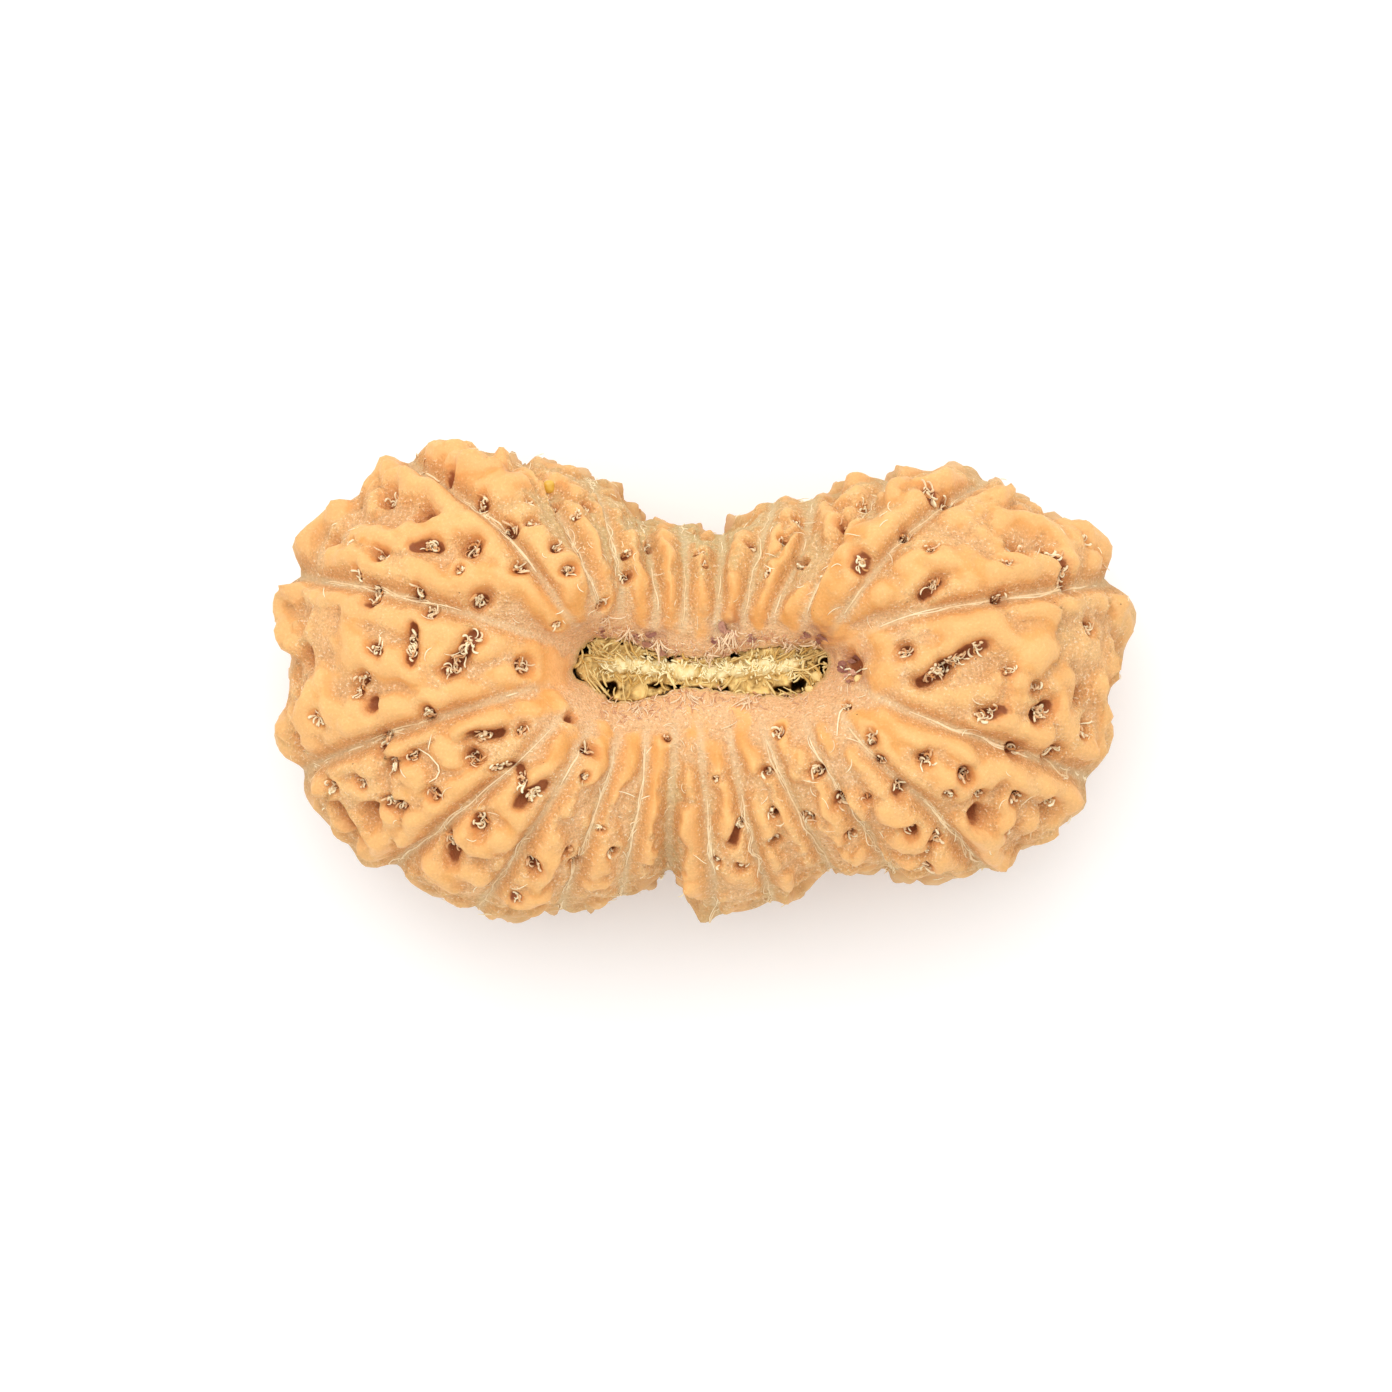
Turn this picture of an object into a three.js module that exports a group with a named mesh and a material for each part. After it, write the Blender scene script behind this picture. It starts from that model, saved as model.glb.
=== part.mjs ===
// A rudraksha bead with twenty-four faces: the ridged stone of the fruit, and the dry fibrous core that
// stands in its mouth. The bead lies flat on a low spot of each lobe, with the mouth up.
// Millimetres. X runs along the bead, Z up through the mouth, and z = 0 is the surface that it lies on.
import * as THREE from "three";

// Driving sizes. The plan places below are seen from above, from the middle of the bead's outline.
const UPPER = { lobe: 9.1, waist: 7.0 }; // height of the smooth body over its middle plane
const UNDER = { lobe: 8.7, waist: 6.8 }; // depth below the middle plane
const LIP = 5.9; // where the mouth's edge lies above and below the middle plane
const FOOT = 9.0; // the middle plane over the surface: what would reach lower is worn flat
const PLAN_CENTRE = [-0.07, 0.17]; // middle of the finished outline, which goes over the origin
const LOBE_FROM = 3; // the waist ends at this distance from the middle, along X
const LOBE_FULL = 13;
const CREST_SHARE = 0.34; // the top of a cross-section lies this share of the way from mouth to rim
const CREST_STEP = 0.22; // share of the rows between the lip and that top
const LIP_CURVE = 1.8; // exponent of the rise from lip to top: 1 is straight
const ROUNDNESS = 0.9; // exponent of the outer quarter: 1 is an ellipse, less is fuller

// Relief, over the floor of the grooves
const GROOVE_HALF = 0.45;
const GROOVE_DEPTH = 0.85; // of the relief beside it
const SWELL = 0.38; // how far a face's own floor stands over its two grooves
const RIM_BAND = 0.022; // half height of the band round the rim that takes the outline's own knobs
const RIM_SLOPE = 1.6; // how fast the relief may rise inwards from the outline
const PEAK = 1.3; // of the crests, which near the rim are lowered to that
const SEEN_HEIGHT = 1.1; // of the relief that a plan place on the upper side lies on
const GROOVE_FADE = [0.04, 0.3]; // shares of the way out over which the grooves deepen
const MOUTH_FADE = 0.05; // share of the way out over which the relief starts
const NEAR_MOUTH = 0.45; // how much lower the relief is round the mouth
const MOUTH_REACH = [0.08, 0.4]; // shares of the way out over which it gets its full height
const OVER_WAIST = 0.22; // how much lower it is over the waist
const CREST_PART = 0.78; // share of a ridge's height in its crest; the rest is in its wide foot
const STEEP = 4; // exponent of the crest's side: higher is flatter on top and steeper
const RIDGE_REACH = 2.7; // how far a ridge's foot goes, in half widths
const MERGE_POWER = 4; // how softly ridges that meet run together
const COLLAR = { rise: 0.1, at: 1.7, spread: 0.3 }; // the raised edge of a pit, at radii from it
const PIT_REACH = 4; // radii beyond which a pit has no effect
const PIT_SIDE = 3; // exponent of a pit's side: higher is steeper
const PIT_DEPTH = 0.38; // of a pit, on top of its radius
const SLOT_DEPTH = 0.25;

// The mesh
const SHOULDER = 0.62; // from a groove to the next column, at the rim
const CELL = 0.98; // width of the other columns there
const OUTER_ROWS = 42;
const WALL_ROWS = 5;
const SHOULDER_MOST = 0.33; // of a face's width, where the face is narrow
const PIT_MOVE = { u: 0.6, s: 0.04 }; // how far a grid place may move to a pit's middle
const SOFTEN = 0.36; // share of a cell either way that a point's height is the mean of

// The twenty-four grooves, clockwise from the left: mouth, two points on the way, rim.
const GROOVES = [
  [-6.0, 1.65, -10.2, 3.0, -15.0, 4.3, -19.2, 5.1],
  [-5.6, 2.1, -7.4, 4.4, -10.0, 7.5, -14.2, 10.4],
  [-5.0, 2.25, -5.7, 4.9, -6.9, 7.4, -9.0, 10.4],
  [-4.1, 2.15, -4.2, 4.6, -4.7, 7.1, -5.7, 9.8],
  [-2.7, 1.65, -2.4, 3.9, -2.8, 6.0, -3.3, 7.9],
  [-1.3, 1.35, -1.1, 3.6, -1.0, 5.7, -1.2, 7.7],
  [0.4, 1.3, 0.5, 3.5, 0.65, 5.5, 0.8, 7.3],
  [1.5, 1.6, 1.9, 4.0, 2.5, 6.4, 3.3, 8.7],
  [2.9, 1.8, 3.5, 4.1, 4.6, 6.2, 5.1, 8.9],
  [4.2, 1.8, 5.3, 4.3, 6.8, 6.7, 8.8, 9.6],
  [5.0, 1.8, 7.2, 4.4, 9.6, 7.1, 13.4, 9.6],
  [5.55, 1.5, 9.6, 3.3, 14.2, 4.1, 19.1, 4.9],
  [5.7, 0.8, 9.4, -1.2, 13.6, -2.7, 18.2, -4.4],
  [5.2, 0.2, 7.6, -3.1, 10.4, -5.6, 13.3, -8.7],
  [4.2, -0.4, 5.4, -3.4, 7.1, -6.0, 9.0, -8.8],
  [2.2, -0.4, 3.2, -3.5, 4.6, -6.3, 6.0, -8.8],
  [0.7, -0.2, 1.3, -3.6, 2.0, -7.0, 3.1, -10.2],
  [-0.5, -0.05, -0.2, -3.8, 0.1, -7.2, 0.5, -10.6],
  [-1.6, -0.2, -1.6, -3.4, -1.8, -6.3, -1.8, -8.8],
  [-2.9, -0.6, -3.0, -3.9, -3.6, -7.1, -4.2, -10.0],
  [-4.0, -0.75, -4.8, -4.2, -5.9, -7.4, -7.1, -10.6],
  [-4.9, -0.45, -6.7, -4.1, -8.7, -7.3, -11.0, -10.6],
  [-5.6, 0.05, -8.3, -3.0, -11.6, -5.9, -15.0, -8.5],
  [-6.2, 0.6, -10.4, -0.8, -14.7, -2.2, -19.3, -4.1],
];
const FACES = GROOVES.length;

// The outline from above, clockwise from the left: x, y of each knob and notch.
const OUTLINE = [
  [-20.25, 0], [-20.2, 1], [-20.05, 1.5], [-20.5, 2.3], [-20.8, 3.2], [-21, 4], [-20.8, 4.6],
  [-20.3, 4.9], [-19.2, 5.25], [-19.6, 5.6], [-20.05, 6.1], [-20.2, 6.5], [-20, 7.1], [-19.5, 7.6],
  [-18.8, 8], [-17.9, 8.7], [-17.2, 9], [-16.6, 9.3], [-16, 10.5], [-15.7, 11], [-15.2, 11.1],
  [-14.7, 10.8], [-14.3, 10.55], [-14, 11.3], [-13.7, 11.6], [-13, 11.75], [-12.2, 11.65],
  [-11.6, 11.4], [-11.3, 11.05], [-10.6, 10.7], [-10.3, 10.65], [-10, 11.5], [-9.6, 10.7], [-8.9, 10.5],
  [-8.6, 10.95], [-8.2, 11.1], [-7.7, 10.7], [-7.1, 10.7], [-6.1, 10.3], [-5.6, 9.85], [-4.9, 10.1],
  [-4.4, 9.5], [-4, 8.9], [-3.3, 7.95], [-2.7, 8.15], [-1.7, 7.85], [-1.3, 7.75], [-0.65, 7.9],
  [0, 7.5], [0.5, 7.35], [0.9, 7.35], [1.5, 8.3], [1.9, 8.3], [2.9, 8.95], [3.2, 8.8], [3.9, 9.2],
  [4.5, 9], [5, 8.95], [5.5, 9.4], [5.9, 9.2], [6.5, 9.45], [6.9, 10.1], [7.3, 10.2], [7.8, 10.15],
  [8.4, 10.05], [8.9, 9.8], [9.6, 10.65], [9.9, 10.45], [11, 10.4], [12.4, 10.7], [12.9, 10.75],
  [13.3, 10.1], [13.4, 9.7], [14.4, 9.95], [14.7, 9.3], [15.2, 9.25], [15.9, 8.85], [16.3, 8.3],
  [16.9, 8.05], [17.5, 8.1], [18.7, 7.7], [19.3, 7.4], [19.75, 6.5], [19.3, 5.6], [19.1, 4.9],
  [20, 4.7], [20.4, 4.5], [20.9, 3.4], [21.05, 3], [20.6, 2.5], [20.1, 1.4], [20.25, 0.6], [19.5, -0.1],
  [19.4, -0.9], [19.65, -1.9], [19.55, -2.5], [19.6, -3], [19.05, -3.95], [18.4, -4.4], [18.2, -4.65],
  [18.5, -5.4], [18.5, -5.9], [17.8, -6.3], [17, -6.95], [15.6, -7.6], [15.2, -7.75], [14.95, -8.6],
  [14.2, -9.1], [13.5, -8.75], [12.5, -9.2], [11, -9.25], [10.3, -9.35], [9.4, -9], [8.8, -8.9],
  [7.6, -8.95], [7, -9.3], [6, -8.85], [5.4, -9.4], [4.9, -10], [4, -10.6], [3.2, -10.4], [2.5, -10.8],
  [1, -11], [0.3, -11.2], [-0.15, -11.8], [-0.6, -11], [-1, -10.4], [-1.5, -9.2], [-1.8, -8.95],
  [-2.4, -9.4], [-3.5, -10.2], [-4.2, -10.15], [-5.1, -10.7], [-6.5, -11.1], [-7.3, -10.7],
  [-8.6, -11.15], [-9.3, -11.3], [-10.6, -11.25], [-11.2, -10.7], [-12.3, -10.4], [-13.4, -10.15],
  [-14.3, -9.55], [-15, -8.6], [-16.3, -8.85], [-16.8, -8.8], [-17.25, -7.9], [-17.7, -7.4],
  [-18.6, -6.5], [-19.4, -5.5], [-19.7, -5], [-19.4, -4.2], [-19.8, -3.7], [-20.4, -3.5], [-20.8, -3.1],
  [-21.1, -2.4], [-20.7, -1.7], [-20.4, -1],
];

// Ridges and knobs of the upper side: half width, height, then the points of the crest.
const RIDGES = [
  // left end
  [0.8, 0.9, -7.0, 0.4, -9.2, 0.3, -11.0, -0.2, -13.0, -0.6, -15.0, -1.3, -16.6, -2.0],
  [0.6, 0.9, -10.4, 1.9, -9.2, 2.0, -8.0, 1.5, -6.9, 0.9],
  [0.8, 0.9, -10.9, 2.4, -12.0, 2.8, -13.6, 3.2, -15.2, 3.6, -16.6, 3.4, -17.2, 2.4, -17.0, 1.4],
  [1.0, 0.8, -16.8, 1.4, -15.4, 0.9, -13.8, 0.4, -12.8, 1.6, -13.0, 2.4],
  [0.6, 1.2, -19.6, 4.8, -20.4, 4.2, -20.3, 3.2, -19.9, 2.4],
  [0.6, 0.9, -19.3, 4.2, -18.3, 4.5, -17.2, 4.1, -16.5, 3.4],
  [1.2, 0.55, -18.7, 3.2, -18.3, 1.8, -17.8, 0.7],
  [0.5, 0.8, -18.4, 1.0, -18.8, -0.1, -19.3, -1.0],
  [0.5, 1.2, -20.4, -1.9, -20.9, -2.5, -20.3, -3.0],
  [0.5, 0.6, -20.2, 1.0, -20.1, 0.0, -20.3, -1.0],
  [0.9, 0.9, -19.0, -2.5, -17.9, -2.7, -17.3, -1.6, -18.4, -0.7, -19.3, -1.4],
  // upper left
  [0.7, 0.95, -6.9, 2.9, -7.8, 3.9, -8.7, 4.6, -10.0, 5.0, -11.6, 5.0, -12.8, 4.9],
  [0.55, 0.85, -12.8, 5.0, -14.0, 5.4, -15.2, 5.6, -16.2, 5.9, -17.3, 6.0, -18.4, 6.0],
  [0.7, 0.9, -17.5, 6.4, -16.6, 7.0, -15.6, 7.1, -14.2, 7.1, -13.2, 7.4, -12.3, 7.8],
  [0.7, 0.9, -12.2, 8.0, -10.8, 7.7, -9.9, 6.8, -9.1, 6.1, -8.6, 5.4],
  [0.7, 1.0, -19.6, 6.5, -19.3, 7.2, -18.6, 7.8, -17.7, 8.3],
  [0.75, 1.1, -15.4, 10.8, -14.8, 10.2, -13.8, 9.8, -12.9, 9.5, -12.2, 8.8],
  [0.5, 0.7, -15.9, 10.2, -16.2, 9.3, -15.9, 8.9],
  // top left
  [0.6, 1.2, -13.4, 11.1, -12.3, 11.1, -11.4, 10.6, -10.7, 10.3],
  [0.55, 0.9, -12.2, 10.6, -11.9, 10.0, -11.5, 9.4, -11.0, 9.0],
  [0.32, 1.5, -10.0, 10.6, -9.9, 10.2],
  [0.7, 0.85, -10.0, 9.8, -9.6, 9.4, -9.2, 10.1],
  [0.8, 0.65, -9.6, 8.8, -8.7, 8.6],
  [0.55, 0.7, -10.5, 8.2, -9.9, 7.9],
  [0.55, 0.9, -8.8, 7.2, -7.8, 6.6, -6.9, 6.1, -6.4, 5.8, -6.5, 4.9, -6.3, 4.1, -6.1, 3.3],
  [0.5, 1.1, -8.4, 10.3, -7.9, 10.1],
  [0.5, 0.9, -7.3, 10.2, -6.6, 10.0, -6.1, 9.7],
  [0.42, 0.95, -7.65, 9.5, -7.55, 9.4],
  [0.55, 0.75, -6.9, 9.0, -6.4, 8.5],
  [0.6, 0.9, -6.2, 8.0, -5.5, 7.2, -5.2, 6.3, -5.0, 5.4, -4.8, 4.6, -4.7, 3.8],
  [0.45, 1.0, -5.0, 9.4, -4.6, 9.0, -4.5, 8.4],
  [0.35, 0.7, -4.0, 8.7, -3.9, 8.2],
  [0.35, 0.8, -4.3, 7.7, -4.15, 6.9, -4.0, 6.3],
  [0.4, 0.9, -3.6, 7.4, -3.3, 6.3, -3.15, 5.5, -3.0, 4.7, -3.05, 3.9, -3.2, 3.0],
  [0.35, 0.5, -3.85, 5.0, -3.8, 4.0, -3.8, 3.2],
  // top waist
  [0.45, 0.7, -2.7, 7.6, -2.2, 7.5, -1.7, 7.3],
  [0.42, 0.9, -1.95, 6.9, -1.75, 6.0, -1.8, 5.0, -1.75, 4.1, -1.55, 3.2, -1.35, 2.6],
  [0.3, 0.5, -2.35, 6.8, -2.2, 6.2],
  [0.35, 0.6, -0.7, 7.4, -0.6, 6.8],
  [0.35, 0.4, 0.0, 7.1, 0.2, 6.8],
  [0.35, 0.6, -0.45, 6.4, -0.4, 5.6],
  [0.45, 0.85, -0.45, 4.8, -0.25, 4.2, -0.2, 3.6, -0.35, 2.9, -0.5, 2.3],
  [0.4, 0.7, 1.5, 7.6, 1.5, 7.0],
  [0.35, 0.7, 2.6, 8.3, 2.3, 7.7],
  [0.5, 0.65, 1.2, 6.6, 1.3, 5.9, 1.8, 6.3],
  [0.38, 0.95, 1.15, 5.0, 1.15, 4.2, 1.2, 3.3],
  // top right
  [0.35, 0.85, 3.4, 7.9, 3.3, 7.2, 3.1, 6.6],
  [0.4, 0.8, 3.9, 8.6, 4.2, 8.0],
  [0.42, 0.9, 4.4, 7.3, 4.0, 6.6, 3.5, 5.9, 3.0, 5.2, 2.7, 4.4, 2.5, 3.5, 2.4, 2.8],
  [0.4, 0.8, 5.5, 8.8, 5.7, 8.3],
  [0.55, 1.0, 6.8, 9.4, 7.5, 9.5],
  [0.4, 0.8, 5.85, 8.3, 5.8, 7.5],
  [0.5, 0.9, 6.8, 8.6, 6.7, 7.7, 6.4, 6.8, 5.9, 5.8, 5.2, 5.0, 4.5, 4.5, 4.2, 3.7, 3.9, 2.9],
  [0.35, 0.7, 8.3, 9.4, 8.2, 9.1],
  [0.38, 1.2, 9.6, 9.9, 9.2, 9.5, 8.8, 9.0],
  [0.55, 1.1, 10.3, 9.8, 11.3, 9.8, 12.2, 10.0, 12.8, 10.1],
  [0.65, 0.9, 11.7, 9.9, 10.6, 9.0, 9.5, 8.4, 8.6, 8.0, 7.9, 7.6, 7.3, 6.9, 6.6, 6.1, 6.1, 5.2, 5.8,
    4.3, 5.3, 3.3],
  [0.6, 0.85, 9.7, 8.0, 8.9, 7.2, 8.4, 6.4, 7.8, 5.8, 7.2, 5.2, 6.6, 4.4],
  [0.45, 1.1, 14.2, 9.2, 13.7, 9.1],
  [0.4, 0.7, 15.2, 8.6, 15.6, 8.3],
  [0.8, 0.8, 11.8, 8.2, 12.6, 8.6, 13.6, 8.7],
  [0.7, 0.95, 14.2, 8.0, 15.2, 8.1, 16.2, 7.8, 16.8, 7.2, 17.3, 6.6],
  [0.8, 1.05, 17.4, 7.6, 18.4, 7.1, 19.0, 6.5, 18.9, 5.9],
  [0.8, 0.6, 12.5, 7.5, 13.6, 7.3],
  [0.5, 0.6, 13.9, 6.4, 15.2, 6.1, 15.7, 6.2],
  [0.65, 0.95, 9.2, 5.4, 10.6, 6.0, 12.2, 6.0, 13.4, 5.7, 14.6, 5.4, 15.6, 5.5, 16.5, 5.8, 17.3, 6.3],
  [0.6, 0.7, 11.2, 4.5, 12.3, 4.8, 13.4, 5.0],
  [0.7, 0.9, 8.8, 4.8, 7.8, 4.2, 6.9, 3.6, 6.3, 2.9, 5.9, 2.3],
  [0.5, 0.55, 9.8, 6.9, 10.9, 7.0, 11.8, 6.8],
  // right end
  [0.7, 0.95, 10.3, 2.7, 11.6, 3.1, 13.0, 3.3, 14.4, 3.6, 15.4, 3.8],
  [0.7, 0.9, 15.5, 3.8, 16.2, 3.2, 16.3, 2.2, 15.8, 1.2, 15.0, 0.3],
  [1.0, 0.85, 12.2, 2.6, 13.8, 2.6, 15.0, 2.2, 15.2, 1.4],
  [0.55, 0.85, 8.8, 0.7, 9.8, 1.2, 10.8, 1.6, 11.8, 2.1],
  [0.8, 0.85, 7.0, 2.2, 8.2, 2.2, 8.2, 1.2, 8.0, 0.2],
  [0.6, 0.65, 9.0, -0.4, 10.4, -0.7, 11.6, -0.5, 12.8, -0.2, 13.8, 0.1],
  [0.6, 0.75, 14.8, -0.5, 14.6, -1.0],
  [0.5, 0.85, 13.0, -1.9, 14.4, -2.1, 15.8, -2.3, 16.2, -2.4],
  [0.5, 0.9, 17.2, 4.3, 18.4, 4.3, 19.3, 4.2],
  [0.65, 1.1, 19.9, 4.0, 20.4, 3.2],
  [0.9, 0.6, 17.7, 2.0, 18.7, 1.6, 19.4, 1.0],
  [0.4, 0.8, 19.7, 0.9, 19.8, 0.3],
  [0.7, 0.65, 17.0, 0.8, 17.1, -0.2, 17.2, -1.0],
  [0.5, 0.85, 19.0, 0.0, 19.0, -0.9, 19.1, -1.8, 19.0, -2.8],
  [0.7, 0.95, 17.2, -2.2, 18.0, -2.8, 18.6, -3.2],
  // lower right
  [0.8, 0.95, 7.0, -1.7, 8.2, -1.6, 9.4, -2.0, 10.6, -2.1, 11.5, -2.5, 12.2, -3.2],
  [0.75, 0.85, 8.8, -2.9, 9.4, -3.8, 10.4, -4.5, 11.4, -4.6],
  [0.65, 0.95, 13.0, -4.4, 14.2, -4.2, 15.6, -4.4, 16.8, -4.8, 17.6, -5.4],
  [0.4, 0.5, 13.6, -3.2, 14.0, -3.6],
  [0.6, 1.0, 12.3, -6.6, 13.0, -7.5, 13.7, -8.3, 14.1, -8.6],
  [0.6, 0.95, 14.4, -6.0, 14.0, -6.8, 13.8, -7.6],
  [0.5, 0.65, 15.5, -6.3, 15.6, -7.0],
  [0.5, 0.6, 12.0, -5.3, 12.6, -5.0],
  [0.5, 0.7, 17.2, -6.1, 16.4, -6.8],
  [0.45, 0.85, 6.9, -3.0, 7.5, -3.7, 8.2, -4.4, 8.8, -5.2],
  [0.6, 0.85, 8.5, -6.2, 9.6, -6.1, 10.6, -6.7, 10.4, -7.5, 9.3, -7.8],
  [0.5, 0.9, 9.6, -8.5, 10.4, -8.8, 11.4, -8.5, 12.3, -8.7],
  [0.55, 0.6, 11.3, -7.7, 11.9, -8.2],
  [0.4, 0.65, 5.1, -1.6, 5.5, -2.3, 5.8, -2.9],
  [0.4, 0.85, 3.6, -2.2, 3.9, -2.9, 4.1, -3.6, 4.2, -4.2],
  [0.5, 0.85, 5.3, -4.4, 5.5, -5.4, 5.7, -6.4, 6.3, -6.9, 6.9, -6.7, 7.0, -6.1],
  [0.4, 0.8, 5.5, -7.0, 6.2, -7.4],
  [0.45, 0.9, 6.6, -8.3, 7.1, -8.7, 7.6, -8.4, 8.3, -8.5],
  // bottom waist
  [0.45, 0.85, 1.45, -1.3, 1.65, -2.2, 1.9, -3.0, 2.1, -3.8],
  [0.45, 0.7, 3.0, -4.9, 3.2, -5.5],
  [0.5, 0.85, 2.4, -5.8, 2.5, -6.6, 2.9, -7.2],
  [0.45, 0.85, 3.8, -5.9, 4.0, -6.8, 4.3, -7.5, 4.7, -8.2],
  [0.4, 0.8, 3.4, -8.6, 3.3, -9.2],
  [0.4, 0.9, 4.0, -9.5, 4.1, -9.9],
  [0.4, 0.6, 4.9, -8.9, 5.1, -9.1],
  [0.4, 0.8, 0.8, -4.9, 0.95, -5.7, 1.05, -6.4, 0.85, -7.2],
  [0.4, 0.6, 1.7, -7.4, 1.85, -8.3],
  [0.5, 0.6, 0.8, -9.3, 1.4, -9.7, 2.2, -9.6, 2.3, -10.0],
  [0.6, 0.8, -0.6, -1.4, -0.2, -2.3, 0.3, -3.0, 0.35, -3.9],
  [0.35, 0.7, -0.8, -2.4, -0.85, -3.4],
  [0.4, 0.75, -0.95, -4.2, -0.85, -4.9, -0.6, -5.4],
  [0.5, 0.95, -0.7, -6.1, -0.75, -7.0, -0.65, -8.0, -0.7, -8.8, -0.7, -9.4],
  [0.5, 1.7, -0.45, -9.9, -0.25, -10.6],
  [0.4, 0.7, -1.1, -9.2, -1.0, -9.7],
  [0.5, 0.95, -2.1, -2.8, -2.3, -3.9, -2.6, -4.8, -2.75, -5.8, -2.85, -6.8, -2.95, -7.8, -3.1, -8.8],
  [0.45, 0.75, -3.6, -9.5, -3.1, -9.4],
  // lower left
  [0.45, 0.95, -3.3, -2.3, -3.6, -3.2, -3.9, -4.2, -4.3, -5.2, -4.65, -6.1],
  [0.55, 0.95, -5.1, -6.9, -5.0, -7.5, -5.1, -8.3, -5.25, -9.2],
  [0.35, 0.5, -4.3, -7.2, -4.45, -8.0],
  [0.5, 0.85, -6.3, -9.9, -5.6, -9.9, -5.0, -9.8],
  [0.55, 0.85, -4.9, -2.3, -5.0, -3.4, -5.4, -4.2, -6.1, -4.6, -6.5, -5.2, -6.5, -5.9],
  [0.55, 0.85, -7.6, -6.6, -7.8, -7.3, -7.2, -8.2, -7.6, -9.0, -8.4, -9.5, -9.2, -9.4, -9.6, -8.9],
  [0.5, 0.85, -10.2, -10.4, -9.3, -10.4, -8.4, -10.3, -7.8, -10.1],
  [0.5, 0.95, -6.6, -2.2, -6.9, -3.0, -7.6, -3.9, -8.2, -4.6],
  [0.6, 0.85, -9.6, -4.6, -9.8, -5.3, -9.3, -6.0, -8.6, -6.4],
  [0.55, 0.95, -11.4, -6.1, -11.8, -6.9, -11.3, -7.6, -10.4, -7.7, -9.6, -7.3, -9.0, -6.7],
  [0.75, 0.85, -13.4, -7.6, -13.4, -8.3, -12.8, -8.9, -12.0, -9.3, -11.2, -9.1],
  [0.5, 0.7, -13.2, -9.5, -12.2, -9.8],
  [0.4, 0.4, -10.0, -8.4, -9.9, -9.0],
  [0.6, 0.95, -7.2, -0.9, -8.4, -1.1, -9.6, -1.4, -10.8, -1.6, -11.6, -1.9],
  [0.45, 0.85, -13.2, -2.0, -13.8, -2.5, -14.6, -2.9, -15.4, -3.3],
  [0.7, 0.85, -12.4, -2.9, -12.1, -3.3],
  [0.5, 0.5, -8.6, -2.6, -9.8, -3.3],
  [0.6, 0.9, -10.4, -4.3, -11.4, -4.7, -12.3, -5.3, -13.2, -5.9, -14.0, -6.6, -14.6, -7.3],
  [0.6, 0.75, -14.2, -4.2, -13.9, -4.8, -14.4, -5.3],
  [0.5, 0.8, -16.2, -3.8, -17.3, -3.8, -18.3, -4.2],
  [0.5, 0.65, -15.8, -4.9, -16.7, -5.3, -17.5, -5.2],
  [0.5, 1.0, -19.0, -4.9, -18.6, -5.4],
  [0.3, 0.9, -17.8, -5.7, -17.0, -6.4, -16.3, -7.0],
  [0.6, 1.0, -15.3, -6.4, -15.4, -7.2, -15.9, -8.0, -16.2, -8.3],
  [0.4, 0.7, -17.2, -7.2, -17.8, -6.6, -18.3, -6.0],
];

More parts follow.
